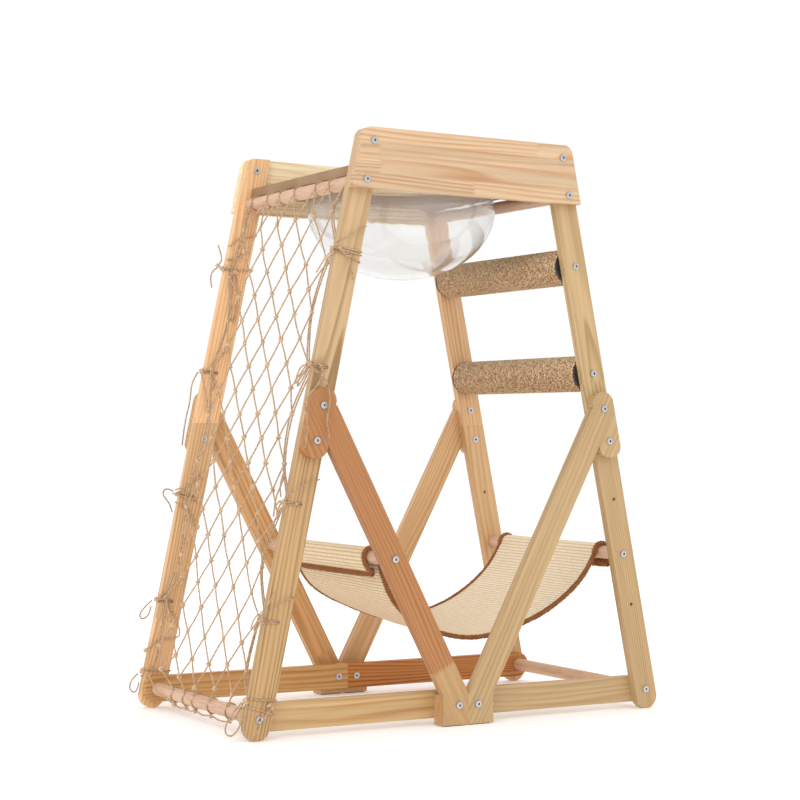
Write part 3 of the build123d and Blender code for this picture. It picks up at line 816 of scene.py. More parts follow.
@dataclass
class PlainNodes:
    """CAD nodes whose shape is right and that only need their finish."""

    finishes: dict[str, Any] = field(default_factory=lambda: {
        "net_dowel_top net_dowel_bottom panel_dowel_right base_dowel_right hammock_dowel_left "
        "hammock_dowel_right panel_pegs": BEECH,
        "top_panel": FIBRE_BOARD,
        "near_bolts far_bolts sleeve_nuts": Metal("bright_zinc_plate", "#C9CCD0", 0.3),
        "dowel_inserts": Metal("turned_brass", "#D9B26A", 0.32),
        "foot_pads": MouldedPlastic("black_pad_rubber", "#161616", 0.8),
        "upper_post_caps lower_post_caps": MouldedPlastic("black_moulded_plastic", "#1A1A1C", 0.45),
        "upper_post_tube lower_post_tube": MouldedPlastic("grey_card_tube", "#8A7763", 0.9),
        "bowl": ClearAcrylic(),
    })

    def build(self) -> None:
        """Dress the nodes."""
        for nodes, finish in self.finishes.items():
            material = finish.material()
            for node in nodes.split():
                dress(node, material)
            log.info("%s: %s", nodes, material.name)


# ---------------------------------------------------------------- rope work
class TwineWorks:
    """The shared node tree that lays twisted twine along lines and ties knots on marked points."""

    def __init__(self) -> None:
        """Build the tree, where lines become twine and marked points knots, and the small knot that it repeats."""
        group = NodeGroup("laid_twine", Float="Radius, Lay, Step, Knot Scale", Object="Knot", Int="Seed")
        add, ports = group.add, group.ports
        line = add("GeometryNodeMeshToCurve", ports["Geometry"])
        smooth = add("GeometryNodeCurveSplineType", line, spline_type="CATMULL_ROM")
        even = add("GeometryNodeResampleCurve", smooth, Length=ports["Step"], mode="LENGTH")
        twine = group.rope(even, ports["Radius"], 0.72)
        marked = add("GeometryNodeInputNamedAttribute", "knot", data_type="BOOLEAN")
        form = add("GeometryNodeObjectInfo", ports["Knot"]).node.outputs["Geometry"]
        turn = add(
            "FunctionNodeRandomValue", (0.0, 0.0, 0.0), (6.28, 6.28, 6.28), Seed=ports["Seed"],
            data_type="FLOAT_VECTOR")
        knots = add(
            "GeometryNodeInstanceOnPoints", ports["Geometry"], marked, form, Rotation=turn, Scale=ports["Knot Scale"])
        group.close(twine, knots)
        self.group = group
        self.knot = self.make_knot()

    @staticmethod
    def make_knot() -> bpy.types.Object:
        """Tie one small knot: a trefoil of twine, about 7 mm across.

        Returns:
            The knot's object, which the tree repeats and which is removed at the end.
        """
        stations, sides = 26, 5
        line = []
        for i in range(stations):
            t = 2 * pi * i / stations
            radial = (2.1 + 1.05 * cos(3 * t)) * MM
            line.append(Vector((radial * cos(2 * t), radial * sin(2 * t), 1.15 * MM * sin(3 * t))))
        vertices, faces = [], []
        for i, place in enumerate(line):
            ahead = (line[(i + 1) % stations] - line[i - 1]).normalized()
            across = ahead.cross(Vector((0.3, 0.2, 1.0))).normalized()
            over = ahead.cross(across)
            for j in range(sides):
                angle = 2 * pi * j / sides
                vertices.append(place + TWINE_DIAMETER / 2 * (cos(angle) * across + sin(angle) * over))
                ring, after, k = i * sides, (i + 1) % stations * sides, (j + 1) % sides
                faces.append((ring + j, ring + k, after + k, after + j))
        return mesh_object("knot_form", vertices, (), faces)

    def lay(
        self, name: str, lines: Sequence[Sequence[Point]], material: bpy.types.Material,
        knots: Sequence[Point] = (), knot_scale: float = 1.0, step: float = 1.5 * MM,
    ) -> bpy.types.Object:
        """Lay twine along some lines, with knots at some points.

        Args:
            name: Name of the finished piece.
            lines: The lines, each a list of points; a line that ends where it starts is closed.
            material: Finish of the twine.
            knots: Places of the knots.
            knot_scale: Size of the knots against the small one.
            step: Distance between the twine's rings.

        Returns:
            The finished mesh.
        """
        vertices, edges = [], []
        for line in lines:
            first = len(vertices)
            closed = (Vector(line[0]) - Vector(line[-1])).length < 1e-6
            vertices.extend(line[:-1] if closed else line)
            edges.extend((i, i + 1) for i in range(first, len(vertices) - 1))
            if closed:
                edges.append((len(vertices) - 1, first))
        first_knot = len(vertices)
        vertices.extend(knots)
        carrier = mesh_object(f"{name}_lines", vertices, edges)
        marks = carrier.data.attributes.new("knot", "BOOLEAN", "POINT")
        for i in range(first_knot, len(vertices)):
            marks.data[i].value = True
        return self.group.build(carrier, name, {
            "Radius": 1.55 * MM, "Lay": 9.0 * MM, "Step": step, "Knot": self.knot, "Knot Scale": knot_scale,
            "Seed": 5, "Material": material})


@dataclass
class RopeNet:
    """The knotted climbing net between the two net dowels.

    Args:
        top_z: Height of the upper dowel's centre.
        foot_z: Height of the lower dowel's centre.
        wrap_radius: Radius of the loops round the dowels.
        off_plane: Distance of the net from the plane of the dowels' centres.
        row: Distance between rows of knots, down the slope.
        half: Place of the outermost knots across the net.
        knot_scale: Size of a knot against the small one.
    """

    top_z: float = 0.9144
    foot_z: float = 0.0349
    wrap_radius: float = 12.9 * MM
    off_plane: float = 14.4 * MM
    row: float = 43 * MM
    first_row: float = 12 * MM
    last_row: int = 20
    half: float = 0.186
    knot_scale: float = 1.18
    odd_row: tuple[float, ...] = (-0.169, -0.098, -0.027, 0.044, 0.115, 0.186)
    even_row: tuple[float, ...] = (-0.133, -0.062, 0.009, 0.080, 0.151)
    top_loops: tuple[float, ...] = (-0.187, -0.123, -0.073, 0.006, 0.064, 0.114, 0.176)
    bottom_knots: tuple[float, ...] = (-0.116, -0.045, 0.019, 0.058, 0.107)
    tie_z: tuple[float, ...] = (0.7966, 0.6075, 0.3834, 0.1941, 0.062)

    def __post_init__(self) -> None:
        """Work out the slope's directions and the knots' places."""
        self.outward = Vector((-1, 0, LAYOUT.lean)).normalized()
        self.down = Vector((-LAYOUT.lean, 0, -1)).normalized()
        self.top = Vector((-LAYOUT.leg_x(self.top_z), 0, self.top_z))
        self.foot = Vector((-LAYOUT.leg_x(self.foot_z), 0, self.foot_z))
        self.rng = Random(31)
        self.places = self.knot_places()

    def at(self, y: float, s: float, lift: float = 0.0) -> Vector:
        """Point of the net across it, down its slope from the upper dowel and out of its plane."""
        return self.top + self.outward * (self.off_plane + lift) + self.down * s + Vector((0, y, 0))

    def slope(self, z: float) -> float:
        """Distance down the slope at a height."""
        return (self.top_z - z) * LAYOUT.slant

    def pull(self, s: float) -> float:
        """How strongly the nearest tie pulls at a place down the slope, from 0 to 1."""
        return max(2.718 ** -(((s - self.slope(z)) / 0.055) ** 2) for z in self.tie_z)

    def stray(self, reach: float) -> float:
        """A random distance either way."""
        return self.rng.uniform(-1, 1) * reach

    def knot_places(self) -> dict[tuple[int, int], Flat]:
        """Places of the net's knots, which stray further where the net hangs loose near the floor.

        Returns:
            Row and column, and the knot's place across and down the net.
        """
        places = {}
        for k in range(1, self.last_row + 1):
            s = self.first_row + k * self.row
            loose = max(0.0, s - 0.5) / 0.4
            wander = (1 + 2.2 * loose) * 1.6 * MM
            edge = -0.018 + 0.034 * self.pull(s)
            for j, y in enumerate(self.odd_row if k % 2 else self.even_row):
                share = (abs(y) / self.half) ** 2
                dy = edge * share * (1 if y > 0 else -1) + self.stray(wander)
                places[k, j] = y + dy, s + self.stray(wander) - 10 * MM * loose * share * self.pull(s)
        return places

    def strand(self, start: Flat, end: Flat) -> list[Vector]:
        """One side of a mesh: nearly straight, with a little slack.

        Args:
            start: Place across and down the net where it leaves a knot.
            end: Place of the next knot.

        Returns:
            Points of the strand.
        """
        bend = self.rng.uniform(-1.6, 1.6) * MM
        lift = self.rng.uniform(-1.0, 1.0) * MM
        mid = ((start[0] + end[0]) / 2 + bend, (start[1] + end[1]) / 2)
        return [self.at(*start), self.at(*mid, lift), self.at(*end)]

    def wrap(self, centre: Vector, y: float, turns: Sequence[int], slip: float) -> list[Vector]:
        """Points of a loop round a dowel.

        Args:
            centre: Centre of the dowel.
            y: Place of the loop along it.
            turns: Angles in degrees, from the outside over the top.
            slip: How far the loop moves along the dowel.

        Returns:
            Points of the loop.
        """
        points = []
        for i, degrees in enumerate(turns):
            a = radians(degrees)
            arm = self.wrap_radius * (cos(a) * self.outward - sin(a) * self.down)
            points.append(centre + arm + Vector((0, y + slip * (i / (len(turns) - 1) - 0.5), 0)))
        return points

    def build(self, works: TwineWorks, material: bpy.types.Material) -> None:
        """Make the net and put it in place of its CAD node.

        Args:
            works: The shared twine tree.
            material: Finish of the twine.
        """
        lines = [self.strand(self.places[a], self.places[b]) for a, b in self.mesh_sides()]
        lines += [*self.hang(), *self.foot_loops(), *self.edge_cords(-1), *self.edge_cords(1)]
        knots = [self.at(*place) for place in self.places.values()]
        knots += [self.under(y) for y in self.bottom_knots]
        piece = works.lay("knotted_rope_net", lines, material, knots, self.knot_scale)
        finish_piece(piece, "twine", "rope_net")

    def mesh_sides(self) -> list:
        """Pairs of knots that a strand joins.

        Returns:
            The pairs, as rows and columns.
        """
        sides = []
        for k in range(1, self.last_row):
            odd, even = (k, k + 1) if k % 2 else (k + 1, k)
            for j in range(len(self.even_row)):
                sides += [((odd, j), (even, j)), ((odd, j + 1), (even, j))]
        return sides

    def hang(self) -> list:
        """Loops of the first row over the upper dowel.

        Returns:
            The loops' lines.
        """
        lines = []
        for i, y in enumerate(self.top_loops):
            left, right = self.places[1, max(i - 1, 0)], self.places[1, min(i, len(self.odd_row) - 1)]
            loop = self.wrap(self.top, y, (-15, 35, 85, 135, 185, 235, 285, 330), 5 * MM)
            lines.append([self.at(*left), *loop, self.at(*right)])
        return lines

    def under(self, y: float) -> Vector:
        """Place of a knot under the lower dowel."""
        return self.foot + Vector((-0.004, y, -0.0165))

    def foot_loops(self) -> list:
        """Loops of the last row round the lower dowel, and the cord that links their knots under it.

        Returns:
            The loops' lines and the cord's.
        """
        lines = []
        for j, y in enumerate(self.bottom_knots):
            loop = self.wrap(self.foot, y, (40, -10, -60, -110, -160, -210, -260, -310), 8 * MM)
            lines.append([self.at(*self.places[self.last_row, j]), *loop, self.under(y)])
        stops = [self.under(y) for y in self.bottom_knots]
        link = [self.foot + place for place in in_mm((-18, -200, 26), (-16.5, -165, -2))] + stops[:1]
        for a, b in zip(stops, stops[1:]):
            link += [(a + b) / 2 - Vector((0, 0, 0.003)), b]
        link += [self.foot + place for place in in_mm((-17, 148, 0), (-18, 185, 22), (-18, 204, 35))]
        return [*lines, link]

    def edge_cords(self, side: int) -> list:
        """Doubled twine down one edge, drawn out to each tie.

        Args:
            side: -1 for the near edge, 1 for the far one.

        Returns:
            The edge's lines.
        """
        column = 0 if side < 0 else len(self.odd_row) - 1
        edge = [(s, y) for (k, j), (y, s) in self.places.items() if k % 2 and j == column]
        stops = sorted(edge + [(self.slope(z), side * 0.2) for z in self.tie_z])
        lines = []
        for offset in (-PAIR_GAP, PAIR_GAP):
            cord = [self.at(y + offset + self.rng.uniform(-1.5, 1.5) * MM, s, offset) for s, y in stops]
            lines.append([self.at(side * 0.187, 0.012), *cord])
        return lines


# Short strands of the ties' knots and from them to the net, in millimetres.
KNOT_STRANDS = {
    "near": [
        [(-302, -225, 608), (-319, -226, 601), (-328, -227, 583), (-331, -227, 574), (-322, -228, 582),
         (-311, -228, 597), (-302, -225, 607)],
        [(-302, -225, 608), (-315, -228, 598), (-324, -229, 580), (-326, -228, 570), (-317, -227, 580),
         (-306, -226, 600)],
        [(-350, -222, 383), (-357, -224, 373), (-361, -225, 362)],
        [(-348, -225, 381), (-353, -226, 370), (-359, -225, 361)],
        [(-351, -218, 385), (-360, -220, 377), (-364, -221, 366)],
        [(-388, -222, 201), (-395, -223, 190), (-400, -224, 178)],
        [(-386, -225, 200), (-391, -226, 187), (-398, -226, 176)],
        [(-390, -218, 203), (-398, -219, 194), (-403, -220, 181)],
        [(-259, -223, 801), (-263, -222, 791), (-269, -215, 783), (-280, -203, 758)],
    ],
    "far": [
        [(-249, 203, 835), (-229, 202, 849), (-197, 200, 856)],
        [(-253, 203, 811), (-233, 202, 815), (-211, 201, 831)],
        [(-255, 203, 796), (-229, 202, 792), (-204, 201, 793)],
        [(-239, 203, 787), (-241, 203, 747), (-242, 203, 704), (-236, 202, 701), (-228, 202, 738), (-233, 203, 788)],
        [(-284, 203, 612), (-268, 202, 627), (-250, 201, 645)],
        [(-284, 203, 610), (-276, 202, 590), (-272, 201, 575)],
        [(-302, 203, 604), (-293, 202, 568), (-289, 201, 535)],
        [(-351, 203, 390), (-326, 202, 398), (-298, 201, 416)],
        [(-357, 203, 384), (-332, 202, 377), (-306, 201, 371)],
        [(-351, 203, 368), (-322, 202, 350), (-307, 201, 322)],
        [(-383, 203, 200), (-360, 202, 210), (-336, 201, 232)],
        [(-365, 203, 188), (-347, 202, 155), (-343, 201, 126), (-378, 203, 121), (-405, 203, 104)],
        [(-268, 206, 838), (-262, 203, 812), (-268, 207, 800)],
    ],
}


@dataclass
class Lashings:
    """The lashings that tie the net's edges to its legs: through a hole four times, right round at the foot.

    Args:
        hole_z: Heights of the holes in the legs.
        foot_turns: Heights of each turn round the foot, at the leg's outer edge and at its inner one.
        top_turns: The same for the turns round the near leg at its highest tie.
        clear: Distance from the wood to the middle of the twine.
        knot_rise: How far a tie's knot sits above its hole.
        low_turn: Height under which a turn stops short on the leg's inner side.
    """

    hole_z: tuple[float, ...] = (0.7916, 0.6025, 0.3784, 0.1891)
    foot_turns: tuple[Flat, ...] = ((0.068, 0.064), (0.056, 0.042))
    top_turns: tuple[Flat, ...] = ((0.801, 0.7945), (0.7985, 0.789), (0.796, 0.777))
    clear: float = 1.9 * MM
    knot_rise: float = 5 * MM
    low_turn: float = 0.06

    def build(self, works: TwineWorks, material: bpy.types.Material) -> None:
        """Make both sides' lashings in place of their CAD nodes.

        Args:
            works: The shared twine tree.
            material: Finish of the twine.
        """
        for name, side in (("near", -1), ("far", 1)):
            lines, knots = [], []
            for z in self.hole_z:
                lines += [self.half_ring(side, z, z + shift) for shift in (-PAIR_GAP, PAIR_GAP)]
                knots += self.knot_cluster(side, z + self.knot_rise)
                lines.append(self.from_leg(side, z, (
                    (-27, 213.1, 4), (-25.5, 206.5, 5), (-21, 202.5, 5), (-14, 199, 5))))
            turns = self.foot_turns + (self.top_turns if side < 0 else ())
            lines += [self.full_ring(side, *turn) for turn in turns]
            strands = [in_mm(*strand) for strand in KNOT_STRANDS[name]]
            lines += strands
            if side > 0:
                knots += [strand[-1] for strand in strands]
            knots += self.knot_cluster(side, 0.067)
            if side < 0:
                knots += in_mm((-371.5, -224.5, 57), (-368.5, -225, 54.5), (-269, -215, 783), (-247, -223.5, 797))
            piece = works.lay(f"{name}_lashings_and_knots", lines, material, knots, 1.2)
            finish_piece(piece, "twine", f"{name}_net_lashings")

    @staticmethod
    def from_leg(side: int, z: float, points: Sequence[Point]) -> list[Vector]:
        """Points in millimetres, measured from the leg's centre line at a height, as points in metres."""
        return [Vector((-LAYOUT.leg_x(z) + x * MM, side * y * MM, z + up * MM)) for x, y, up in points]

    def half_ring(self, side: int, z: float, height: float) -> list[Vector]:
        """One turn through the leg's hole and round its outer edge.

        Args:
            side: -1 near, 1 far.
            z: Height of the hole.
            height: Height of this turn.

        Returns:
            The closed turn.
        """
        x = -LAYOUT.leg_x(z)
        edge = x - LAYOUT.edge_dx - self.clear
        low, high = LAYOUT.leg_in - self.clear, LAYOUT.leg_out + self.clear
        ring = (
            (x, low, 0, 4, 0), (x, high, 0.3, -4, 0), (x, high, -1, 0, 0), (x, high, -9, 0.4, 1),
            (edge, high, 3, 0, 2), (edge, high, 0, -3, 3), (edge, (low + high) / 2, -0.6, 0, 3.4),
            (edge, low, 0, 3, 3), (edge, low, 3, 0, 2), (x, low, -9, -0.4, 1), (x, low, -1, 0, 0))
        placed = [Vector((a + da * MM, side * (b + db * MM), height + dz * MM)) for a, b, da, db, dz in ring]
        return [*placed, placed[0]]

    def full_ring(self, side: int, z_edge: float, z_back: float) -> list[Vector]:
        """One turn right round the leg.

        Args:
            side: -1 near, 1 far.
            z_edge: Height at the leg's outer edge.
            z_back: Height at its inner edge.

        Returns:
            The closed turn, or an open one at the foot.
        """
        low, high = LAYOUT.leg_in - self.clear, LAYOUT.leg_out + self.clear
        outer = -LAYOUT.leg_x(z_edge) - LAYOUT.edge_dx - self.clear
        inner = -LAYOUT.leg_x(z_back) + LAYOUT.edge_dx + self.clear
        mid_x, mid_z = (outer + inner) / 2, (z_edge + z_back) / 2
        if z_back < self.low_turn:
            low = LAYOUT.leg_in + self.clear
        mid_y = (low + high) / 2
        ring = (
            (outer, mid_y, z_edge), (outer + 2 * MM, high - 1 * MM, z_edge), (mid_x, high + 0.3 * MM, mid_z),
            (inner - 2 * MM, high - 1 * MM, z_back), (inner, mid_y, z_back),
            (inner - 2 * MM, low + 1 * MM, z_back), (mid_x, low, mid_z), (outer + 2 * MM, low + 1 * MM, z_edge))
        placed = [Vector((a, side * b, c)) for a, b, c in ring]
        return placed[:5] if z_back < self.low_turn else [*placed, placed[0]]

    @staticmethod
    def knot_cluster(side: int, z: float) -> list[Vector]:
        """Places of the small knots that make one tie's knot on the leg's outer edge.

        Args:
            side: -1 near, 1 far.
            z: Height of the knot.

        Returns:
            The three places.
        """
        first = Vector((
            -LAYOUT.leg_x(z) - LAYOUT.edge_dx - 4 * MM, side * (LAYOUT.leg_in + LAYOUT.leg_out) / 2, z))
        return [first + step for step in in_mm((0, 0, 0), (1.5, -2.5, -3.5), (-0.5, 3, -1.5))]


class FarEnd(Enum):
    """How a tie's loose twine ends."""

    BARE = "bare"
    BACK_IN_KNOT = "object"


@dataclass
class LooseTwine:
    """The free ends and bows of the ties, each a cord of its own. Routes are in millimetres."""

    routes: dict[str, tuple[FarEnd, list[Point]]] = field(default_factory=dict)

    def build(self, works: TwineWorks, material: bpy.types.Material) -> None:
        """Make every loose twine in place of its CAD node.

        Args:
            works: The shared twine tree.
            material: Finish of the twine.
        """
        for node, (far_end, route) in self.routes.items():
            line = nurbs_line(in_mm(*route))
            piece = works.lay(f"{node}_twine", [line], material, step=1.0 * MM)
            finish_piece(piece, "twine", node)


TIE_ROUTES = {
    "near_tie_1_tail": (FarEnd.BARE, [
        (-262, -219, 801), (-253, -228, 799), (-241, -231, 789), (-232, -229, 775), (-226, -227, 761),
        (-223, -226, 747),
    ]),
    "near_tie_1_end": (FarEnd.BARE, [
        (-258, -222, 806), (-250, -226, 810), (-238, -227, 815), (-220, -226, 825), (-198, -225, 837),
    ]),
    "near_tie_2_tail_left": (FarEnd.BARE, [
        (-299, -219, 611), (-293, -230, 612), (-286, -237, 603), (-286, -241, 588), (-298, -244, 571),
        (-312, -243, 558), (-321, -243, 543), (-318, -242, 526), (-313, -242, 508), (-316, -242, 490),
        (-319, -242, 471),
    ]),
    "near_tie_2_tail_right": (FarEnd.BARE, [
        (-303, -217, 602), (-300, -227, 599), (-292, -230, 595), (-283, -233, 587), (-277, -241, 575),
        (-275, -244, 559), (-274, -243, 541), (-279, -242, 522), (-278, -242, 503), (-274, -242, 485),
    ]),
    "near_tie_3_tail": (FarEnd.BARE, [
        (-344, -220, 390), (-337, -228, 396), (-324, -229, 404), (-311, -228, 411), (-298, -227, 414),
        (-284, -227, 419),
    ]),
    "near_tie_3_bow": (FarEnd.BACK_IN_KNOT, [
        (-349, -217, 391), (-352, -219, 401), (-351, -219, 414), (-346, -218, 427), (-341, -214, 433),
        (-339, -209, 425), (-343, -207, 411), (-350, -207, 398), (-355, -208, 384), (-358, -211, 371),
        (-360, -212, 359),
    ]),
    "near_tie_4_tail": (FarEnd.BARE, [
        (-383, -220, 203), (-376, -228, 207), (-364, -229, 213), (-351, -228, 220), (-338, -227, 225),
        (-324, -227, 231),
    ]),
    "near_tie_4_bow": (FarEnd.BARE, [
        (-387, -218, 202), (-385, -226, 209), (-378, -230, 219), (-370, -230, 230), (-364, -228, 241),
    ]),
    "near_tie_5_tail": (FarEnd.BARE, [
        (-366, -229, 62), (-372, -231, 53), (-379, -231, 44), (-386, -231, 34), (-392, -230, 24),
        (-398, -230, 14), (-404, -232, 5),
    ]),
    "near_tie_5_bow": (FarEnd.BACK_IN_KNOT, [
        (-415, -213, 63), (-425, -215, 54), (-436, -216, 42), (-445, -216, 28), (-444, -215, 15),
        (-433, -214, 10), (-423, -215, 19), (-417, -217, 33), (-414, -220, 48),
    ]),
    "far_tie_1_tail": (FarEnd.BARE, [
        (-263, 214, 798), (-270, 217, 794), (-275, 220, 785), (-276, 221, 773), (-273, 221, 760),
    ]),
    "far_tie_2_tail": (FarEnd.BARE, [
        (-302, 215, 604), (-308, 218, 594), (-313, 220, 579), (-314, 221, 562), (-316, 222, 544),
        (-321, 222, 526), (-325, 222, 507), (-328, 221, 488), (-330, 221, 470),
    ]),
    "far_tie_3_bow": (FarEnd.BACK_IN_KNOT, [
        (-350, 214, 387), (-358, 216, 392), (-367, 218, 390), (-368, 219, 380), (-360, 219, 371),
        (-353, 219, 361), (-350, 218, 349),
    ]),
    "far_tie_4_bow": (FarEnd.BACK_IN_KNOT, [
        (-390, 213, 192), (-398, 215, 185), (-406, 217, 176), (-413, 217, 166), (-409, 216, 158),
        (-400, 215, 161), (-394, 214, 170), (-392, 213, 181),
    ]),
    "far_tie_5_bow": (FarEnd.BACK_IN_KNOT, [
        (-416, 213, 62), (-424, 215, 55), (-430, 216, 45), (-431, 216, 34), (-423, 215, 27),
        (-416, 214, 34), (-414, 214, 46),
    ]),
}


# ---------------------------------------------------------------- posts
@dataclass
class RopeWinding:
    """Sisal rope wound turn against turn on the two posts.

    Args:
        rope_radius: Radius of the rope as it lies, pressed against the next turn.
        fullness: Radius of the rope's outline against that.
        turns: Number of turns on each post.
        lay: Length of one full twist of the rope.
        points_per_turn: How finely a turn is divided.
    """

    rope_radius: float = 2.5 * MM
    fullness: float = 1.14
    turns: int = 81
    lay: float = 13 * MM
    points_per_turn: int = 110

    def tree(self) -> NodeGroup:
        """Build the node tree: a spiral along Y that becomes three-strand rope.

        Returns:
            The finished tree.
        """
        group = NodeGroup(
            "wound_rope", Vector="Start", Float="Turns, Coil Radius, Width, Rope Radius, Lay", Int="Points")
        ports = group.ports
        spiral = group.add(
            "GeometryNodeCurveSpiral", ports["Points"], ports["Turns"], ports["Coil Radius"], ports["Coil Radius"],
            ports["Width"])
        turned = group.add(
            "GeometryNodeTransform", spiral, Translation=ports["Start"], Rotation=(-pi / 2, 0.0, 0.0))
        group.close(group.rope(turned, ports["Rope Radius"], 0.56))
        return group

    def build(self) -> None:
        """Wind both posts, each in place of its CAD winding."""
        group = self.tree()
        # Its 0.2 paints shade into the grooves between the rope's strands.
        sisal = PlantFibre(
            "laid_sisal_rope", "#F8D9B0", "#A87C55", 0.5, 0.2, (0.36, 0.57), (250.0, 0.8)).material()
        for post in ("upper", "lower"):
            node = f"{post}_post_winding"
            low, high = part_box(node)
            centre = middle(node)
            carrier = mesh_object(f"{node}_start", [(0, 0, 0)])
            rope = group.build(carrier, f"{post}_post_sisal_rope", {
                "Start": (centre.x, low[1] + self.rope_radius, centre.z), "Turns": float(self.turns),
                "Coil Radius": (high[2] - low[2]) / 2 - self.rope_radius,
                "Width": high[1] - low[1] - 2 * self.rope_radius, "Rope Radius": self.rope_radius * self.fullness,
                "Lay": self.lay, "Points": self.points_per_turn, "Material": sisal})
            finish_piece(rope, "sisal", node)


# ---------------------------------------------------------------- hammock
@dataclass
class Hammock:
    """Woven straw mat that hangs over two dowels, its four edges overcast with brown thread.

    Args:
        sag: Control points between the dowels, as X and Z in millimetres.
        left_flap: End of the mat that is tucked under the left dowel, in millimetres.
        right_flap: End of the mat that hangs outside the right dowel, in millimetres.
        bend_radius: Radius of the mat's middle over a dowel.
        dowel_radius: Radius of a dowel.
        hem_half: Half width and half thickness of a hem.
        hem_inset: Distance from the mat's edge to the middle of the side hems.
        end_bulk: How much thicker the hems of the two ends are.
        far_lift: How much higher the far edge hangs where it lies tautest.
        taut: Where the far edge starts to be taut, and for how far.
        station: Distance between the mat's rows.
        across: Number of divisions across the mat.
    """

    sag: tuple[Flat, ...] = (
        (-131.6, 285.1), (-128, 259), (-105, 207), (-64, 171), (-12, 149), (45, 137), (98, 140), (164, 158),
        (214, 177), (268, 211), (305, 248), (321.4, 280))
    left_flap: tuple[Flat, ...] = ((-145, 258.5), (-153, 264.5), (-159, 274))
    right_flap: tuple[Flat, ...] = ((350.6, 271), (349.6, 260))
    half_width: float = 0.159
    thickness: float = 3.4 * MM
    bend_radius: float = 14.3 * MM
    dowel_radius: float = 11.7 * MM
    hem_half: Flat = (5.2 * MM, 3.1 * MM)
    hem_inset: float = 3 * MM
    end_bulk: float = 1.3
    thread_radius: float = 1.4 * MM
    stitch: float = 4.3 * MM
    far_lift: float = 21 * MM
    taut: Flat = (-0.128, 0.226)
    station: float = 4.4 * MM
    across: int = 28

    def __post_init__(self) -> None:
        """Lay out the mat's side line, evenly divided, from the left flap to the right one."""
        self.dowels = [(dowel.x, dowel.z) for dowel in map(middle, ("hammock_dowel_left", "hammock_dowel_right"))]
        left, sag, right = (
            [(x * MM, 0.0, z * MM) for x, z in part] for part in (self.left_flap, self.sag, self.right_flap))
        parts = (left, self.arc(*self.dowels[0]), nurbs_line(sag)[1:-1], self.arc(*self.dowels[1]), right)
        self.line = evenly([(p[0], p[2]) for part in parts for p in part], self.station)
        self.rng = Random(8)

    def arc(self, x: float, z: float) -> list[Point]:
        """Half turn over a dowel, from its left side to its right."""
        r = self.bend_radius
        return [(x + r * cos(radians(a)), 0.0, z + r * sin(radians(a))) for a in range(180, -1, -12)]

    def build(self) -> None:
        """Make the mat and its hems, in place of their CAD nodes."""
        mat = self.make_mat()
        finish_piece(mat, "straw_weave", "hammock_mat")
        thread = PlantFibre("overcast_brown_thread", "#A9703F", "#7A4A24", 0.5).material()
        tree = self.hem_tree()
        hems = [self.make_hem(tree, name, line, thread) for name, line in self.hem_lines().items()]
        finish_piece(hems[0], "hem_thread", "hammock_bindings")
        for hem in hems[1:]:
            finish_piece(hem, "hem_thread")

    def make_mat(self) -> bpy.types.Object:
        """Make the mat: two faces and a rim, with a little slack across, and a UV map in metres.

        Returns:
            The mat's object.
        """
        rows = self.mat_rows()
        count, wide = len(rows), self.across + 1
        vertices = [place for face in (0, 1) for row in rows for place in row[face]]
        # Each corner of a face is its side of the mat, its row and its place in the row.
        loops = []
        for i in range(count - 1):
            for j in range(self.across):
                upper = [(0, i, j), (0, i + 1, j), (0, i + 1, j + 1), (0, i, j + 1)]
                loops += [upper, [(1, *corner[1:]) for corner in reversed(upper)]]
        for i in range(count - 1):
            for j in (0, self.across):
                rim = [(0, i, j), (1, i, j), (1, i + 1, j), (0, i + 1, j)]
                loops.append(rim[::-1] if j else rim)
        for j in range(self.across):
            for i in (0, count - 1):
                rim = [(0, i, j), (0, i, j + 1), (1, i, j + 1), (1, i, j)]
                loops.append(rim[::-1] if i else rim)
        faces = [[(side * count + i) * wide + j for side, i, j in loop] for loop in loops]
        mat = mesh_object("woven_straw_mat", vertices, (), faces)
        weave = mat.data.uv_layers.new(name="weave")
        corners = [corner for loop in loops for corner in loop]
        for place, (_, i, j) in zip(weave.data, corners):
            place.uv = (j / self.across * 2 * self.half_width, i * self.station)
        mat.data.shade_smooth()
        mat.data.materials.append(StrawWeave().material())
        return mat

    def mat_rows(self) -> list[tuple[list[Vector], list[Vector]]]:
        """Rows of the mat's two faces.

        Returns:
            For each station, the points of the upper face and of the lower one, from near to far.
        """
        rows = []
        last = len(self.line) - 1
        for i, (x, z) in enumerate(self.line):
            ahead, behind = self.line[min(i + 1, last)], self.line[max(i - 1, 0)]
            normal = Vector((behind[1] - ahead[1], 0.0, ahead[0] - behind[0])).normalized()
            share = i / last
            slack = 5 * MM * max(0.0, sin(pi * min(1.0, max(0.0, (share - 0.12) / 0.76)))) ** 2
            upper, lower = [], []
            for j in range(self.across + 1):
                t = 2 * j / self.across - 1
                ripple = 0.5 * MM * sin(9 * t + 21 * share) * sin(pi * share)
                height = z + self.lift(x) * (1 + t) / 2
                place = Vector((x, t * self.half_width, height)) + normal * (ripple - slack * (1 - t * t))
                upper.append(place + normal * self.thickness / 2)
                lower.append(place - normal * self.thickness / 2)
            rows.append((upper, lower))
        return rows

    def lift(self, x: float) -> float:
        """How much higher the far edge lies than the near one, at a place between the dowels."""
        share = min(1.0, max(0.0, (x - self.taut[0]) / self.taut[1]))
        return self.far_lift * sin(pi * share ** 0.75)

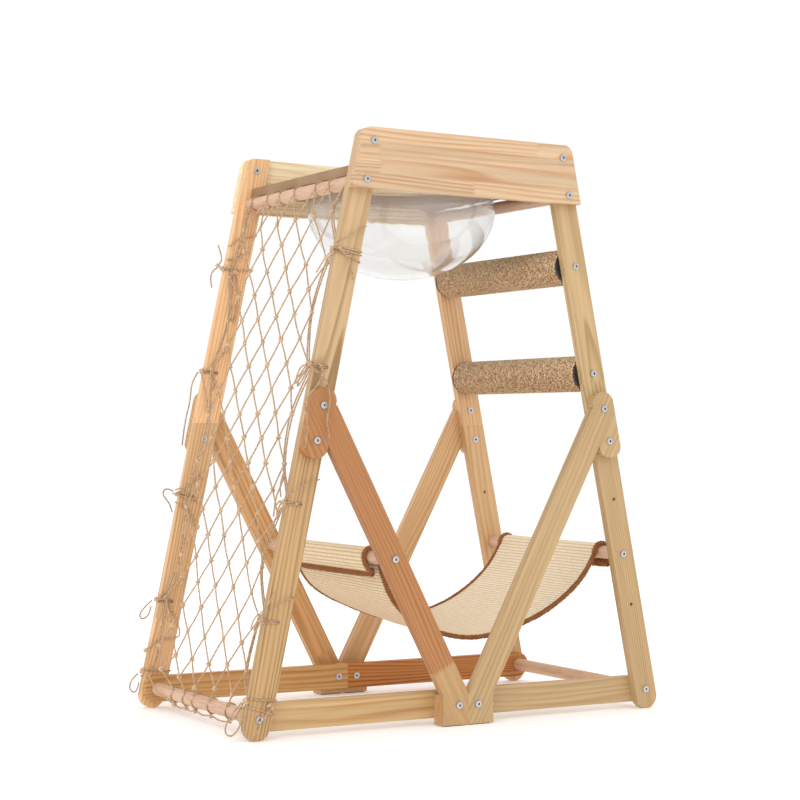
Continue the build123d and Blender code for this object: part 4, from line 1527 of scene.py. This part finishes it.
    def hem_lines(self) -> dict[str, list[Vector]]:
        """Middle lines of the four hems.

        Returns:
            Name and line of each hem.
        """
        y = self.half_width - self.hem_inset
        side = [self.clear_of_dowels(*point) for point in self.line]
        lines = {
            "near_hem": [Vector((x, -y, z)) for x, z in side],
            "far_hem": [Vector((x, y, z + self.lift(x))) for x, z in side],
        }
        shares = [i / 40 for i in range(41)]
        for name, (x, z) in (("left_end_hem", self.line[0]), ("right_end_hem", self.line[-1])):
            lines[name] = [Vector((x, (2 * t - 1) * y, z - 1.5 * MM * sin(pi * t))) for t in shares]
        return lines

    def clear_of_dowels(self, x: float, z: float) -> Flat:
        """Push a point of the hem out until the hem lies on the dowel and not in it.

        Args:
            x: X of the point.
            z: Z of the point.

        Returns:
            Where the point goes.
        """
        room = self.dowel_radius + self.hem_half[1] + self.thread_radius
        for cx, cz in self.dowels:
            away = hypot(x - cx, z - cz)
            if away < room:
                x, z = cx + (x - cx) * room / away, cz + (z - cz) * room / away
        return x, z

    @staticmethod
    def hem_tree() -> NodeGroup:
        """Node tree of a hem: a soft core with stitches of thread laid over it, each leaning forward.

        Returns:
            The finished tree.
        """
        group = NodeGroup("overcast_hem", Vector="Half Size", Float="Turn, Thread, Stitch", Int="Seed")
        add, ports = group.add, group.ports
        line = add("GeometryNodeSetCurveTilt", add("GeometryNodeMeshToCurve", ports["Geometry"]), Tilt=ports["Turn"])
        unit = add("GeometryNodeCurvePrimitiveCircle", Resolution=12, Radius=1.0)
        oval = add("GeometryNodeTransform", unit, Scale=ports["Half Size"])
        core = add("GeometryNodeCurveToMesh", line, oval, Fill_Caps=True)
        stations = add("GeometryNodeCurveToPoints", line, Length=ports["Stitch"], mode="LENGTH")
        thread = add("GeometryNodeCurvePrimitiveCircle", Resolution=4, Radius=ports["Thread"])
        ring = add("GeometryNodeCurveToMesh", oval, thread)
        rings = add(
            "GeometryNodeInstanceOnPoints", stations, Instance=ring, Rotation=stations.node.outputs["Rotation"])
        lean = add(
            "FunctionNodeRandomValue", (0.1, 0.02, 0.0), (0.3, 0.14, 0.0), Seed=ports["Seed"],
            data_type="FLOAT_VECTOR")
        turned = add("GeometryNodeRotateInstances", rings, Rotation=lean)
        size = add("FunctionNodeRandomValue", 0.93, 1.07, Seed=ports["Seed"], data_type="FLOAT")
        group.close(core, add("GeometryNodeScaleInstances", turned, Scale=size))
        return group

    def make_hem(
        self, tree: NodeGroup, name: str, line: list[Vector], thread: bpy.types.Material,
    ) -> bpy.types.Object:
        """Sew one hem.

        Args:
            tree: The hems' node tree.
            name: Name of the hem.
            line: Its middle line.
            thread: Finish of the thread.

        Returns:
            The hem's object.
        """
        carrier = mesh_object(f"{name}_line", line, [(i, i + 1) for i in range(len(line) - 1)])
        at_end = name.endswith("end_hem")
        bulk = self.end_bulk if at_end else 1.0
        return tree.build(carrier, name, {
            "Half Size": (self.hem_half[0] * bulk, self.hem_half[1] * bulk, 1.0), "Turn": pi / 2 if at_end else 0.0,
            "Thread": self.thread_radius, "Stitch": self.stitch, "Seed": self.rng.randrange(100),
            "Material": thread})


def evenly(points: Sequence[tuple[float, float]], step: float) -> list[tuple[float, float]]:
    """Divide a line into steps of about one length.

    Args:
        points: Points of the line, as X and Z.
        step: Wanted distance between points.

    Returns:
        Evenly spaced points with the same two ends.
    """
    travelled = [0.0]
    for a, b in zip(points, points[1:]):
        travelled.append(travelled[-1] + hypot(b[0] - a[0], b[1] - a[1]))
    count = max(2, round(travelled[-1] / step))
    spread, leg = [], 0
    for i in range(count + 1):
        goal = travelled[-1] * i / count
        while leg < len(points) - 2 and travelled[leg + 1] < goal:
            leg += 1
        share = (goal - travelled[leg]) / max(travelled[leg + 1] - travelled[leg], 1e-9)
        (ax, az), (bx, bz) = points[leg], points[leg + 1]
        spread.append((ax + (bx - ax) * share, az + (bz - az) * share))
    return spread


# ---------------------------------------------------------------- whole scene
def main() -> None:
    """Build the studio, then every piece."""
    Studio().build()
    works = TwineWorks()
    # Its 0.25 paints shade into the grooves between the twine's strands.
    twine = PlantFibre("laid_hemp_twine", "#E5C6A2", "#9F7955", 0.35, 0.25).material()
    for part in (LooseTwine(TIE_ROUTES), RopeNet(), Lashings()):
        part.build(works, twine)
    bpy.data.objects.remove(works.knot)
    for part in (SideFrames(), PlainNodes(), RopeWinding(), Hammock()):
        part.build()


if __name__ == "__main__":
    main()
